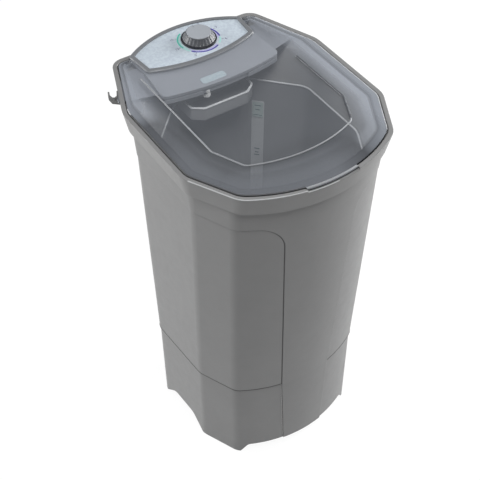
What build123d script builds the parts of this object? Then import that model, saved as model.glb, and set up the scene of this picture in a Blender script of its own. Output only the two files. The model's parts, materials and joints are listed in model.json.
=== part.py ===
from build123d import *
import math
import os

# Semi-automatic top-loading washing machine: a tapered plastic cabinet, a wash tub with a
# pulsator driven by a belt, a clear hinged lid and a control console at the rear.
# Millimetres. X points right seen from the front, Y to the rear, Z up.
# The origin is on the floor, under the middle of the machine's outer box.

# Heights above the floor
RIM_Z = 921.0
BAND_Z = 871.0
SHOULDER_Z = 815.0
LEDGE_Z = 835.0
BASE_SEAM_Z = 255.0
TUB_FLOOR_Z = 270.0
REBATE_Z = 908.0
PLATEAU_Z = 930.0

# Walls and clearances
SHELL_WALL = 3.0
TUB_WALL = 3.0
LID_WALL = 3.0
SEAM_GAP = 0.8
LID_GAP = 3.0
LIP_WIDTH = 10.0
LIP_BEVEL = 1.2
RUNNING_GAP = 0.05
SCREW_GAP = 0.3

# Lid plan, which the rim follows
LID_HALF = 237.0
LID_FRONT = -297.0
LID_REAR = 261.0
LID_FRONT_CUT = (56.0, 105.0)
LID_REAR_CUT = (63.0, 162.0)
LID_CORNERS = (45.0, 45.0, 60.0, 22.0)
LID_SKIRT = 7.0
LID_BORDER = 73.0
BOW_RADIUS = 320.0

# Cabinet plan at the shoulder and how much it draws in lower down
BODY_HALF_FRONT = 226.0
BODY_HALF_REAR = 234.0
BODY_FRONT = -284.0
BODY_REAR = 184.0
BODY_FRONT_CUT = (42.0, 92.0)
BODY_REAR_CUT = (71.0, 84.0)
BODY_CORNERS = (38.0, 38.0, 36.0, 36.0)
REAR_RADIUS = 900.0
SIDE_TAPER = 13.0
FRONT_TAPER = 28.0
REAR_TAPER = 19.0
SKIRT_SIDE_TAPER = 5.0
SKIRT_FRONT_TAPER = 2.0
SKIRT_STEP = 2.0
BAND_DRAFT = 10.0
SHOULDER_STEP = 1.5
SHOULDER_FLARE = 4.0

# Wash tub
LEDGE_SIDE_STEP = 27.0
LEDGE_FRONT_STEP = 34.0
LEDGE_REAR_STEP = 12.0
LEDGE_FRONT_CUT = (38.0, 75.0)
LEDGE_REAR_CUT = (107.0, 112.0)
LEDGE_CORNERS = (60.0, 60.0, 48.0, 48.0)
TUB_DRAFT = 17.0
TUB_LIP = 4.0
TUB_FLANGE = 6.0
TUB_FLOOR = 4.0
REBATE_WIDTH = 9.0

# Front strip that runs from the shoulder down to the skirt's edge
STRIP_TOP_HALF = 88.0
STRIP_FOOT_HALF = 56.0
STRIP_KNEE_Z = 752.0
STRIP_FLARE = 50.0
STRIP_FOOT_Z = 30.0

# Skirt arches and feet
FRONT_ARCH = 28.0
SIDE_ARCH = 40.0
PAD_RADIUS = 16.0
PAD_HEIGHT = 8.0
PAD_PROUD = 2.0

# Control console
CONSOLE_HALF_FRONT = 139.0
CONSOLE_HALF_REAR = 146.0
CONSOLE_FRONT_CORNER = 190.0
CONSOLE_FRONT = 162.0
CONSOLE_REAR_CORNER = 261.0
CONSOLE_REAR = 309.5
CONSOLE_WALL = 2.5
CONSOLE_TOP_Z = 923.0
BEZEL_TOP_Z = 929.0
BEZEL_WIDTH = 11.0
OVERLAY_RECESS = 2.5
DECK_FRONT = 76.0
HOOD_HALF = 150.0
HOOD_RADIUS = 640.0
HOOD_LIP = 10.0
HOOD_FRONT_Z = 917.0
LID_BEZEL_GAP = 1.5

# Lid hinge
HINGE_Y = 253.0
HINGE_Z = 918.5
HINGE_PIN_RADIUS = 2.0
HINGE_PIN_LENGTH = 15.0
LID_TAB_HALF = 61.0
LID_TAB_REACH = 8.0
TAB_RECESS = 4.0

# Timer and knob
KNOB_X = 20.0
KNOB_Y = 236.0
KNOB_RADIUS = 39.0
KNOB_TOP_RADIUS = 28.0
KNOB_HEIGHT = 25.0
KNOB_LIFT = 1.0
TIMER_SHAFT_RADIUS = 3.0
TIMER_WIDTH = 58.0
TIMER_DEPTH = 34.0

# Drive
DRIVE_Y = -45.0
PULSATOR_RADIUS = 150.0
PULSATOR_Z = 281.0
PULSATOR_HUB = 19.0
VANE_COUNT = 6
SHAFT_RADIUS = 6.0
SHAFT_BOTTOM = 147.0
PLATE_Z = 262.0
PLATE_THICK = 2.5
PULLEY_Z = 156.0
PULLEY_WIDTH = 18.0
PULLEY_RADIUS = 95.0
MOTOR_PULLEY_RADIUS = 19.0
MOTOR_SPACING = 130.0
MOTOR_RADIUS = 56.0
MOTOR_BOTTOM = 186.0
MOTOR_HEIGHT = 68.0
MOTOR_SHAFT_RADIUS = 5.0
BELT_WIDTH = 9.0
BELT_DEPTH = 7.0
BELT_GAP = 0.3

# Drain and water inlet
DRAIN_X = -118.0
DRAIN_Y = 40.0
DRAIN_RADIUS = 14.0
DRAIN_Z = 212.0
DRAIN_WALL = 2.5
SPIGOT_LENGTH = 22.0
SPIGOT_LEAD = 1.5
SPIGOT_COLLAR = 16.5
INLET_X = -45.0
INLET_Y = 274.0
INLET_RADIUS = 13.2
INLET_REACH = 20.0
INLET_LEAD = 1.5
INLET_TUBE_RADIUS = 8.0
INLET_TUBE_Z = 896.0
NOZZLE_Y = 100.0
NOZZLE_Z = 885.0

# Service door and drive plate
DOOR_TAB = 2.0
REAR_DOOR_HALF = 86.0
REAR_DOOR_LOW = 60.0
REAR_DOOR_HIGH = 225.0
SEAL_RADIUS = 15.0
PLATE_HALF = 78.0
PLATE_FRONT = -156.0
PLATE_REAR = 150.0

# Cord gland and cover screws
GLAND_X = 60.0
GLAND_Y = 283.0
GLAND_RADIUS = 7.0
COVER_SCREW = 1.8

# Bare plate on the hood
BADGE_X = -22.0
BADGE_Y = 108.0
BADGE_LENGTH = 60.0
BADGE_DEPTH = 20.0

# Detergent tray
TRAY_TOP = 858.0
TRAY_LOW = 822.0
TRAY_HALF = 84.0
TRAY_FRONT = 107.0
TRAY_REAR = 163.0

# Water level strip, measured down the wall from the ledge
LEVEL_OFFSET = 40.0
LEVEL_TOP = 60.0
LEVEL_LOW = 470.0
LEVEL_WIDTH = 30.0

# Lap joints of the mouldings and tub screws
LAP = 12.0
LAP_WALL = 2.5
TUB_SCREW = 2.0

# Bearing and motor details
BUSH_RADIUS = 10.0
MOTOR_BORE = 29.0
MOTOR_BOLT_RADIUS = 50.0

# Motor capacitor
CAPACITOR_RADIUS = 17.5
CAPACITOR_LENGTH = 62.0

# Hose hook on the rim's rear left facet
HOOK_SPOT_Y = 190.0
HOOK_WIDTH = 13.0
HOOK_PEG = 2.5

# Boxes and cylinders that stand on, hang from or lie behind their own place
STANDING = (Align.CENTER, Align.CENTER, Align.MIN)
HANGING = (Align.CENTER, Align.CENTER, Align.MAX)
BEHIND = (Align.CENTER, Align.MIN, Align.CENTER)


class Outline:
    """Rounded eight-sided plan, mirrored about X = 0, with a bowed front and rear."""

    def __init__(self, corners, front, rear, radii):
        """Keep the right half's four corners from front to rear, the two reaches and the radii."""
        self.corners = corners
        self.front = front
        self.rear = rear
        self.radii = radii

    def inset(self, d):
        """The same plan drawn in by d on every side."""
        (fx, fy), (sx, sy), (tx, ty), (rx, ry) = self.corners
        path = [(-fx, fy), (fx, fy), (sx, sy), (tx, ty), (rx, ry), (-rx, ry)]
        lines = []
        for a, b in zip(path, path[1:]):
            run = math.hypot(b[0] - a[0], b[1] - a[1])
            ux, uy = (b[0] - a[0]) / run, (b[1] - a[1]) / run
            lines.append((a[0] - uy * d, a[1] + ux * d, ux, uy))
        corners = []
        for (px, py, ux, uy), (qx, qy, vx, vy) in zip(lines, lines[1:]):
            t = ((qx - px) * vy - (qy - py) * vx) / (ux * vy - uy * vx)
            corners.append((px + t * ux, py + t * uy))
        radii = tuple(max(r - d, 2.0) for r in self.radii)
        return Outline(corners, self.front + d, self.rear - d, radii)

    def face(self, z=0.0):
        """The plan as a face at height z."""
        c = self.corners
        m = [(-x, y) for x, y in c]
        edges = [
            self._bow(m[0], self.front, c[0]),
            Line(c[0], c[1]),
            Line(c[1], c[2]),
            Line(c[2], c[3]),
            self._bow(c[3], self.rear, m[3]),
            Line(m[3], m[2]),
            Line(m[2], m[1]),
            Line(m[1], m[0]),
        ]
        face = make_face(Wire(edges).edges())
        for (x, y), r in zip(c, self.radii):
            ends = [v for v in face.vertices() if abs(abs(v.X) - x) < 0.01 and abs(v.Y - y) < 0.01]
            face = fillet(ends, r)
        return Pos(0, 0, z) * face

    def prism(self, low, high):
        """The plan raised from height low to height high."""
        return extrude(self.face(low), high - low)

    @staticmethod
    def _bow(a, apex, b):
        """Front or rear edge from a to b, bowed out to the apex where it has one."""
        if abs(apex - a[1]) < 0.01:
            return Line(a, b)
        return ThreePointArc(a, (0, apex), b)


def plan(half_front, half_rear, front, rear, front_cut, rear_cut, radii, bow, rear_bow=None):
    """Outline from half widths, front and rear reach, corner cuts and bow radii."""
    fx = half_front - front_cut[0]
    fy = front + bow - math.sqrt(bow**2 - fx**2)
    rx = half_rear - rear_cut[0]
    ry = rear
    if rear_bow:
        ry = rear - rear_bow + math.sqrt(rear_bow**2 - rx**2)
    corners = [(fx, fy), (half_front, fy + front_cut[1]), (half_rear, ry - rear_cut[1]), (rx, ry)]
    return Outline(corners, front, rear, radii)


def skin(low, low_z, high, high_z, wall):
    """Tapered wall between two outlines, open at both ends."""
    outer = loft([low.face(low_z), high.face(high_z)], ruled=True)
    inner = loft([low.inset(wall).face(low_z), high.inset(wall).face(high_z)], ruled=True)
    return outer - inner


def tube(radius, bore, low, high, x=0.0, y=0.0):
    """Upright tube between two heights."""
    body = Cylinder(radius, high - low, align=STANDING)
    if bore:
        body -= Cylinder(bore, high - low, align=STANDING)
    return Pos(x, y, low) * body


def screw(radius, length, head_radius, head):
    """Pan-head screw pointing down, with its head's underside at the origin."""
    stem = Cylinder(radius, length, align=HANGING)
    cap = Cylinder(head_radius, head, align=STANDING)
    cap = chamfer(cap.edges().sort_by(Axis.Z)[-1], head * 0.4)
    return stem + cap - Pos(0, 0, head * 0.5) * Box(head_radius, 0.9, head, align=STANDING)


LID = plan(LID_HALF, LID_HALF, LID_FRONT, LID_REAR, LID_FRONT_CUT, LID_REAR_CUT, LID_CORNERS, BOW_RADIUS)
RIM_TOP = LID.inset(-LID_GAP - LIP_WIDTH)
RIM_BOTTOM = RIM_TOP.inset(BAND_DRAFT)
BODY_TOP = plan(
    BODY_HALF_FRONT, BODY_HALF_REAR, BODY_FRONT, BODY_REAR,
    BODY_FRONT_CUT, BODY_REAR_CUT, BODY_CORNERS, BOW_RADIUS, REAR_RADIUS,
)
BODY_BOTTOM = plan(
    BODY_HALF_FRONT - SIDE_TAPER, BODY_HALF_REAR - SIDE_TAPER,
    BODY_FRONT + FRONT_TAPER, BODY_REAR - REAR_TAPER,
    BODY_FRONT_CUT, BODY_REAR_CUT, BODY_CORNERS, BOW_RADIUS, REAR_RADIUS,
)
SKIRT_TOP = BODY_BOTTOM.inset(SKIRT_STEP)
SKIRT_BOTTOM = plan(
    BODY_HALF_FRONT - SIDE_TAPER - SKIRT_SIDE_TAPER,
    BODY_HALF_REAR - SIDE_TAPER - SKIRT_SIDE_TAPER,
    BODY_FRONT + FRONT_TAPER + SKIRT_FRONT_TAPER,
    BODY_REAR - REAR_TAPER - SKIRT_SIDE_TAPER,
    BODY_FRONT_CUT, BODY_REAR_CUT, BODY_CORNERS, BOW_RADIUS, REAR_RADIUS,
)
SHOULDER_BOTTOM = BODY_TOP.inset(-SHOULDER_STEP)
SHOULDER_TOP = BODY_TOP.inset(-SHOULDER_STEP - SHOULDER_FLARE)
LEDGE = plan(
    BODY_HALF_FRONT - LEDGE_SIDE_STEP, BODY_HALF_FRONT - LEDGE_SIDE_STEP,
    BODY_FRONT + LEDGE_FRONT_STEP, BODY_REAR - LEDGE_REAR_STEP,
    LEDGE_FRONT_CUT, LEDGE_REAR_CUT, LEDGE_CORNERS, BOW_RADIUS,
)
TUB_BASE = LEDGE.inset(TUB_DRAFT)
OPENING = plan(
    LID_HALF - REBATE_WIDTH, LID_HALF - REBATE_WIDTH, LID_FRONT + REBATE_WIDTH, BODY_REAR + 6.0,
    LID_FRONT_CUT, LEDGE_REAR_CUT, LEDGE_CORNERS, BOW_RADIUS,
)
CREASE = plan(
    LID_HALF - LID_BORDER, LID_HALF - LID_BORDER, LID_FRONT + LID_BORDER + 12.0, LID_REAR - 18.0,
    (33.0, 72.0), (12.0, 70.0), (18.0, 18.0, 12.0, 6.0), BOW_RADIUS,
)


def console_face(grow=0.0, z=0.0):
    """Lens-shaped console plan, grown outwards by grow."""
    front = [(-CONSOLE_HALF_FRONT, CONSOLE_FRONT_CORNER), (CONSOLE_HALF_FRONT, CONSOLE_FRONT_CORNER)]
    rear = [(CONSOLE_HALF_REAR, CONSOLE_REAR_CORNER), (-CONSOLE_HALF_REAR, CONSOLE_REAR_CORNER)]
    edges = [
        ThreePointArc(front[0], (0, CONSOLE_FRONT), front[1]),
        Line(front[1], rear[0]),
        ThreePointArc(rear[0], (0, CONSOLE_REAR), rear[1]),
        Line(rear[1], front[0]),
    ]
    face = make_face(Wire(edges).edges())
    face = fillet(face.vertices(), 9.0)
    if grow:
        face = offset(face, grow, kind=Kind.ARC)
    return Pos(0, 0, z) * face


def console_prism(grow, low, high):
    """The console's plan, grown outwards, raised between two heights."""
    return extrude(console_face(grow, low), high - low)


def strip_face(grow=0.0):
    """Front strip seen from the front, in the XZ plane, with flared top corners."""
    foot = (STRIP_FOOT_HALF + grow, STRIP_FOOT_Z - 2 * grow)
    knee = (STRIP_TOP_HALF + grow, STRIP_KNEE_Z)
    hip = (STRIP_TOP_HALF + STRIP_FLARE, SHOULDER_Z - grow)
    crown = (hip[0], SHOULDER_Z + 20)
    side = Line(foot, knee)
    half = [side, TangentArc(knee, hip, tangent=side % 1), Line(hip, crown)]
    edges = half + [mirror(edge, Plane.YZ) for edge in half]
    edges += [Line(crown, (-crown[0], crown[1])), Line((-foot[0], foot[1]), foot)]
    return Plane.XZ * make_face(Wire([e.edge() for e in edges]).edges())


def strip_prism(grow=0.0):
    """The strip's outline carried through the front of the cabinet."""
    return extrude(strip_face(grow), 400)


def top_frame():
    """Rim, band, shoulder and front strip in one moulding."""
    band = skin(RIM_BOTTOM, BAND_Z, RIM_TOP, RIM_Z, SHELL_WALL)
    lip = RIM_TOP.inset(1).prism(RIM_Z - SHELL_WALL, RIM_Z) - LID.inset(-LID_GAP).prism(REBATE_Z, RIM_Z)
    bevel = [LID.inset(-LID_GAP).face(RIM_Z - LIP_BEVEL), LID.inset(-LID_GAP - LIP_BEVEL).face(RIM_Z)]
    lip -= loft(bevel, ruled=True)
    seat = LID.inset(-LID_GAP - 2.5).prism(REBATE_Z - SHELL_WALL, RIM_Z - 1)
    seat -= LID.inset(-LID_GAP).prism(REBATE_Z, RIM_Z)
    seat -= OPENING.prism(REBATE_Z - SHELL_WALL, REBATE_Z)
    slope = skin(LEDGE.inset(-SHELL_WALL), LEDGE_Z, OPENING.inset(-SHELL_WALL), REBATE_Z, SHELL_WALL)
    sole = RIM_BOTTOM.inset(1).prism(BAND_Z, BAND_Z + SHELL_WALL)
    sole -= SHOULDER_TOP.inset(SHELL_WALL).prism(BAND_Z, BAND_Z + SHELL_WALL)
    shoulder = skin(SHOULDER_BOTTOM, SHOULDER_Z, SHOULDER_TOP, BAND_Z + 1, SHELL_WALL)
    frame = band + lip + seat + slope + sole + shoulder
    low = SKIRT_BOTTOM.inset(-SHOULDER_STEP - SKIRT_STEP)
    mid = BODY_BOTTOM.inset(-SHOULDER_STEP)
    wall = SHELL_WALL + SHOULDER_STEP
    strip = skin(low, 0, mid, BASE_SEAM_Z, wall) + skin(mid, BASE_SEAM_Z, SHOULDER_BOTTOM, SHOULDER_Z, wall)
    frame += strip & strip_prism()
    frame -= console_prism(0.4, BAND_Z + SHELL_WALL, RIM_Z + 10)
    low_lip = RIM_TOP.inset(1).prism(RIM_Z - TAB_RECESS - SHELL_WALL, RIM_Z - TAB_RECESS)
    low_lip -= LID.inset(-LID_GAP).prism(REBATE_Z, RIM_Z)
    recess = Pos(0, LID_FRONT, RIM_Z - TAB_RECESS - SHELL_WALL) * Box(
        2 * LID_TAB_HALF + 3, 60, 40, align=STANDING
    )
    frame -= recess & Pos(0, 0, SHELL_WALL) * recess
    frame += low_lip & recess
    frame -= Pos(INLET_X, INLET_Y, BAND_Z) * Cylinder(INLET_RADIUS + 3.5, 20)
    for x, y in cover_screw_points():
        frame -= tube(COVER_SCREW + SCREW_GAP, 0, BAND_Z - 1, BAND_Z + SHELL_WALL + 1, x, y)
    low, top = SHOULDER_Z - LAP, SHOULDER_Z + SHELL_WALL
    tongue = BODY_TOP.inset(SHELL_WALL + SEAM_GAP).prism(low, top)
    tongue += BODY_TOP.inset(0.5).prism(SHOULDER_Z, top)
    tongue -= BODY_TOP.inset(SHELL_WALL + SEAM_GAP + LAP_WALL).prism(low, top)
    frame += tongue
    half = SHELL_WALL / 2
    cavity = loft([LEDGE.inset(-half).face(LEDGE_Z), OPENING.inset(-half).face(REBATE_Z)], ruled=True)
    for x, y in tub_screw_points():
        boss = extrude(RegularPolygon(6.5, 8), 16)
        frame += Pos(x, y, LEDGE_Z) * Rot(0, 0, math.degrees(math.atan2(y, x))) * boss - cavity
        frame -= tube(TUB_SCREW, 0, LEDGE_Z - 1, LEDGE_Z + 13, x, y)
    for z in (RIM_Z - 21, RIM_Z - 39):
        frame -= hook_peg(z)
    return frame


def tub_screw_points():
    """Screws that hold the tub's flange to the top frame."""
    out = LEDGE.inset(-TUB_FLANGE - 3).corners
    (x1, y1), (x2, y2), (x3, y3) = out[1], out[2], out[3]
    right = [(x1, y1 + 30), (x2, y2 - 30), ((x2 + x3) / 2, (y2 + y3) / 2)]
    return right + [(-x, y) for x, y in right]


def tub_screws():
    """Screws from below through the tub's flange."""
    one = Rot(180, 0, 0) * screw(TUB_SCREW, TUB_WALL + 12, 4, 2.6)
    return [Pos(x, y, LEDGE_Z - TUB_WALL) * one for x, y in tub_screw_points()]


def body_shell():
    """Cabinet wall between the shoulder and the skirt, open at the front strip."""
    shell = skin(BODY_BOTTOM, BASE_SEAM_Z, BODY_TOP, SHOULDER_Z - SEAM_GAP, SHELL_WALL)
    return shell - strip_prism(SEAM_GAP)


def arch_front(depth, half, low):
    """Cutter for the front and rear skirt edges: a flat arch with soft shoulders."""
    pts = [(-half, -1), (-half, 0), (-half + low, depth), (half - low, depth), (half, 0), (half, -1)]
    face = make_face(Polyline(*pts, close=True).edges())
    tops = face.vertices().filter_by(lambda v: v.Y > depth - 0.01)
    return fillet(tops, low * 0.7)


def base_skirt():
    """Tapered base ring standing on four corner feet."""
    skirt = skin(SKIRT_BOTTOM, PAD_PROUD, SKIRT_TOP, BASE_SEAM_Z - SEAM_GAP, SHELL_WALL)
    low, top = BASE_SEAM_Z - 6, BASE_SEAM_Z + LAP
    tongue = BODY_BOTTOM.inset(SHELL_WALL + SEAM_GAP).prism(low, top)
    skirt += tongue - BODY_BOTTOM.inset(SHELL_WALL + SEAM_GAP + LAP_WALL).prism(low, top)
    front = Plane.XZ * arch_front(FRONT_ARCH, SKIRT_BOTTOM.corners[0][0] - 6, 18)
    skirt -= extrude(front, 600, both=True)
    near, far = SKIRT_BOTTOM.corners[1][1], SKIRT_BOTTOM.corners[2][1]
    side = Plane.YZ * Pos((near + far) / 2, 0) * arch_front(SIDE_ARCH, (far - near) / 2 - 4, 45)
    skirt -= extrude(side, 600, both=True)
    for x, y in foot_centres():
        web = Pos(x, y, PAD_HEIGHT) * Box(70, 70, SHELL_WALL, align=STANDING)
        skirt += web & SKIRT_BOTTOM.inset(1).prism(PAD_HEIGHT, PAD_HEIGHT + SHELL_WALL)
    skirt -= extrude(rear_door_face(0.5), -400)
    for x, z in rear_door_points():
        back = rear_face_y(x, z)
        skirt += Pos(x, back - 1, z) * Rot(90, 0, 0) * Cylinder(5, 11, align=STANDING)
        skirt -= Pos(x, back, z) * Rot(90, 0, 0) * Cylinder(1.8, 24)
    skirt -= Pos(DRAIN_X, BODY_REAR, DRAIN_Z) * Rot(90, 0, 0) * Cylinder(DRAIN_RADIUS + 0.4, 100)
    return skirt - strip_prism(SEAM_GAP)


def foot_centres():
    """Pad positions inside the four corner feet."""
    (fx, fy), (sx, sy), (tx, ty), (rx, ry) = SKIRT_BOTTOM.inset(PAD_RADIUS + 9).corners
    front = ((fx + sx) / 2, (fy + sy) / 2)
    rear = ((tx + rx) / 2, (ty + ry) / 2)
    return [(front[0], front[1]), (-front[0], front[1]), (rear[0], rear[1]), (-rear[0], rear[1])]


def foot_pads():
    """Rubber pads under the corner feet."""
    pad = tube(PAD_RADIUS, 0, 0, PAD_HEIGHT)
    pad = chamfer(pad.edges().sort_by(Axis.Z)[0], 1.0)
    return [Pos(x, y, 0) * pad for x, y in foot_centres()]


def rear_door_face(grow=0.0):
    """Access door outline at the back of the skirt, in the XZ plane."""
    height = REAR_DOOR_HIGH - REAR_DOOR_LOW
    face = RectangleRounded(2 * REAR_DOOR_HALF + 2 * grow, height + 2 * grow, 12)
    return Plane.XZ * Pos(0, (REAR_DOOR_LOW + REAR_DOOR_HIGH) / 2) * face


def rear_cover():
    """Vented service door that follows the skirt's rear wall."""
    top = BASE_SEAM_Z - SEAM_GAP
    wall = skin(SKIRT_BOTTOM, PAD_PROUD, SKIRT_TOP, top, SHELL_WALL)
    door = wall & extrude(rear_door_face(), -400)
    for row in range(6):
        for column in (-1, 0, 1):
            z = REAR_DOOR_LOW + 42 + row * 14
            slot = extrude(Plane.XZ * Pos(column * 52, z) * SlotOverall(40, 5), -400)
            door -= slot
    skin_out = skin(SKIRT_BOTTOM.inset(-DOOR_TAB), PAD_PROUD, SKIRT_TOP.inset(-DOOR_TAB), top, DOOR_TAB)
    frame = extrude(rear_door_face(16), -400) - extrude(rear_door_face(-4), -400)
    door += skin_out & frame
    for x, z in rear_door_points():
        door -= Pos(x, BODY_REAR, z) * Rot(90, 0, 0) * Cylinder(1.8 + SCREW_GAP, 100)
    return door


def rear_door_points():
    """Screw positions of the service door: two above and two below it."""
    heights = (REAR_DOOR_LOW - 7, REAR_DOOR_HIGH + 7)
    return [(sx * (REAR_DOOR_HALF - 14), z) for sx in (-1, 1) for z in heights]


def rear_cover_screws():
    """Screws through the service door's tabs into the skirt."""
    one = Rot(-90, 0, 0) * screw(1.8, 12, 3.6, 2.2)
    return [Pos(x, rear_face_y(x, z) + DOOR_TAB + 0.4, z) * one for x, z in rear_door_points()]


def rear_face_y(x, z):
    """Rear face of the skirt at x and height z."""
    share = (z - PAD_PROUD) / (BASE_SEAM_Z - PAD_PROUD)
    rear = SKIRT_BOTTOM.rear + share * (SKIRT_TOP.rear - SKIRT_BOTTOM.rear)
    return rear - REAR_RADIUS + math.sqrt(REAR_RADIUS**2 - x**2)


def wash_tub():
    """Tapered tub with a top flange, a floor and a hub boss for the drive."""
    outer = loft([TUB_BASE.face(TUB_FLOOR_Z - TUB_FLOOR), LEDGE.inset(1).face(LEDGE_Z)], ruled=True)
    base, mouth = TUB_BASE.inset(TUB_WALL), LEDGE.inset(TUB_LIP)
    inner = loft([base.face(TUB_FLOOR_Z), mouth.face(LEDGE_Z)], ruled=True)
    tub = outer - inner
    low = LEDGE_Z - TUB_WALL
    flange = LEDGE.inset(-TUB_FLANGE).prism(low, LEDGE_Z) - mouth.prism(low, LEDGE_Z)
    tub += flange
    for x, y in tub_screw_points():
        ear = tube(7, 0, low, LEDGE_Z, x, y)
        tub += ear - mouth.prism(low, LEDGE_Z)
        tub -= tube(TUB_SCREW + SCREW_GAP, 0, low, LEDGE_Z, x, y)
    tub += tube(30, 0, TUB_FLOOR_Z, TUB_FLOOR_Z + 3, 0, DRIVE_Y)
    tub -= Pos(0, DRIVE_Y, TUB_FLOOR_Z) * Cylinder(SEAL_RADIUS, 40)
    tub -= Pos(DRAIN_X, DRAIN_Y, TUB_FLOOR_Z) * Cylinder(DRAIN_RADIUS, 40)
    for x, y in plate_bolts():
        tub += tube(8, 0, PLATE_Z + PLATE_THICK, TUB_FLOOR_Z - TUB_FLOOR, x, y)
        tub -= tube(2, 0, PLATE_Z, TUB_FLOOR_Z - 1.5, x, y)
    return tub


def plate_bolts():
    """Four bolt positions of the drive plate, under the tub's floor."""
    return [(sx * (PLATE_HALF - 12), y) for sx in (-1, 1) for y in (PLATE_FRONT + 14, PLATE_REAR - 14)]


def console_housing():
    """Console box, the deck under the lid and the hood over the tub's rear."""
    box = console_prism(-1, BAND_Z + SHELL_WALL, CONSOLE_TOP_Z)
    box -= console_prism(-1 - CONSOLE_WALL, BAND_Z + SHELL_WALL, CONSOLE_TOP_Z - CONSOLE_WALL)
    deck = LID.inset(LID_WALL + 2).prism(REBATE_Z, REBATE_Z + CONSOLE_WALL)
    deck &= Pos(0, DECK_FRONT, REBATE_Z) * Box(600, HINGE_Y - 16 - DECK_FRONT, 20, align=BEHIND)
    deck_lip = OPENING.inset(6).prism(REBATE_Z - HOOD_LIP, REBATE_Z)
    deck_lip &= Pos(0, DECK_FRONT, REBATE_Z) * Box(600, CONSOLE_WALL, 40, align=BEHIND)
    hood = hood_form(0) - hood_form(CONSOLE_WALL)
    inside = console_prism(-1 - CONSOLE_WALL, BAND_Z, CONSOLE_TOP_Z - CONSOLE_WALL)
    keep = hood_form(CONSOLE_WALL) + inside
    deck -= keep
    deck_lip -= hood_form(0)
    housing = box + (deck + deck_lip + hood - inside)
    floor = console_prism(-1, BAND_Z + SHELL_WALL, BAND_Z + SHELL_WALL + CONSOLE_WALL)
    floor &= Pos(0, BODY_REAR - 78, BAND_Z) * Box(600, 100, 20, align=BEHIND)
    housing += floor
    for x, y in cover_screw_points():
        housing += tube(5, 0, BAND_Z + SHELL_WALL, BAND_Z + 22, x, y)
        housing -= tube(COVER_SCREW, 0, BAND_Z + SHELL_WALL, BAND_Z + 18, x, y)
    housing -= Pos(0, HINGE_Y, HINGE_Z) * Rot(0, 90, 0) * Cylinder(HINGE_PIN_RADIUS + RUNNING_GAP, 400)
    hole = Rot(90, 0, 0) * Cylinder(INLET_TUBE_RADIUS + 0.5, 30)
    housing -= Pos(INLET_X, CONSOLE_FRONT, INLET_TUBE_Z) * hole
    housing -= tube(TIMER_SHAFT_RADIUS + 4, 0, CONSOLE_TOP_Z - 10, CONSOLE_TOP_Z + 1, KNOB_X, KNOB_Y)
    return housing


def hood_form(d):
    """Hood volume, drawn in by d: a curved-front plan under a roof that falls to the front."""
    half = HOOD_HALF - d
    front = DECK_FRONT + d
    side = front + HOOD_RADIUS - math.sqrt(HOOD_RADIUS**2 - half**2)
    corner = (half, side)
    rear = (CONSOLE_HALF_FRONT + 2 - d, CONSOLE_FRONT_CORNER + 12)
    edges = [
        ThreePointArc((-corner[0], corner[1]), (0, front), corner),
        Line(corner, rear),
        Line(rear, (-rear[0], rear[1])),
        Line((-rear[0], rear[1]), (-corner[0], corner[1])),
    ]
    face = make_face(Wire([e.edge() for e in edges]).edges())
    front_ends = face.vertices().sort_by(Axis.Y)[:2]
    face = fillet(front_ends, max(14.0 - d, 2.0))
    low = REBATE_Z - HOOD_LIP - (1 if d else 0)
    body = extrude(Pos(0, 0, low) * face, 60)
    room = OPENING.inset(6 + d).prism(low - 1, REBATE_Z)
    body &= room + Pos(0, 0, REBATE_Z) * Box(600, 900, 60, align=STANDING)
    near, far = DECK_FRONT - 5, CONSOLE_FRONT_CORNER + 20
    roof = Polyline(
        (near, 0), (near, HOOD_FRONT_Z - d), (far, CONSOLE_TOP_Z - 1 - d), (far, 0), close=True
    )
    return body & extrude(Plane.YZ * make_face(roof.edges()), 300, both=True)


def console_cover():
    """Bottom cover of the console, behind the cabinet."""
    low = BAND_Z - CONSOLE_WALL
    cover = console_prism(-1, low, BAND_Z)
    cover &= Pos(0, BODY_REAR + 14, low) * Box(600, 200, 40, align=BEHIND)
    wall = console_prism(-1, BAND_Z, BAND_Z + SHELL_WALL)
    wall -= console_prism(-1 - CONSOLE_WALL, BAND_Z, BAND_Z + SHELL_WALL)
    wall -= RIM_BOTTOM.inset(-1.5).prism(BAND_Z, BAND_Z + SHELL_WALL)
    cover += wall
    cover -= Pos(INLET_X, INLET_Y, low) * Cylinder(INLET_RADIUS + 0.3, 20)
    cover -= Pos(GLAND_X, GLAND_Y, low) * Cylinder(GLAND_RADIUS, 20)
    for x, y in cover_screw_points():
        cover -= Pos(x, y, low) * Cylinder(COVER_SCREW + SCREW_GAP, 20)
    return cover


def cover_screw_points():
    """Screw positions beside the console's side walls."""
    points = []
    for y in (CONSOLE_FRONT_CORNER + 28, CONSOLE_REAR_CORNER - 18):
        share = (y - CONSOLE_FRONT_CORNER) / (CONSOLE_REAR_CORNER - CONSOLE_FRONT_CORNER)
        half = CONSOLE_HALF_FRONT + share * (CONSOLE_HALF_REAR - CONSOLE_HALF_FRONT)
        x = half - 1 - CONSOLE_WALL - 3.5
        points += [(x, y), (-x, y)]
    return points


def cover_screws():
    """Screws that hold the console's bottom cover."""
    one = Rot(180, 0, 0) * screw(COVER_SCREW, CONSOLE_WALL + SHELL_WALL + 12, 3.6, 2.2)
    return [Pos(x, y, BAND_Z - CONSOLE_WALL) * one for x, y in cover_screw_points()]


def panel_bezel():
    """Raised frame round the control plate."""
    ring = console_prism(0, CONSOLE_TOP_Z, BEZEL_TOP_Z)
    ring = chamfer(ring.edges().group_by(Axis.Z)[-1], 2.2)
    ring -= console_prism(-BEZEL_WIDTH, CONSOLE_TOP_Z, BEZEL_TOP_Z)
    return ring


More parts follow.
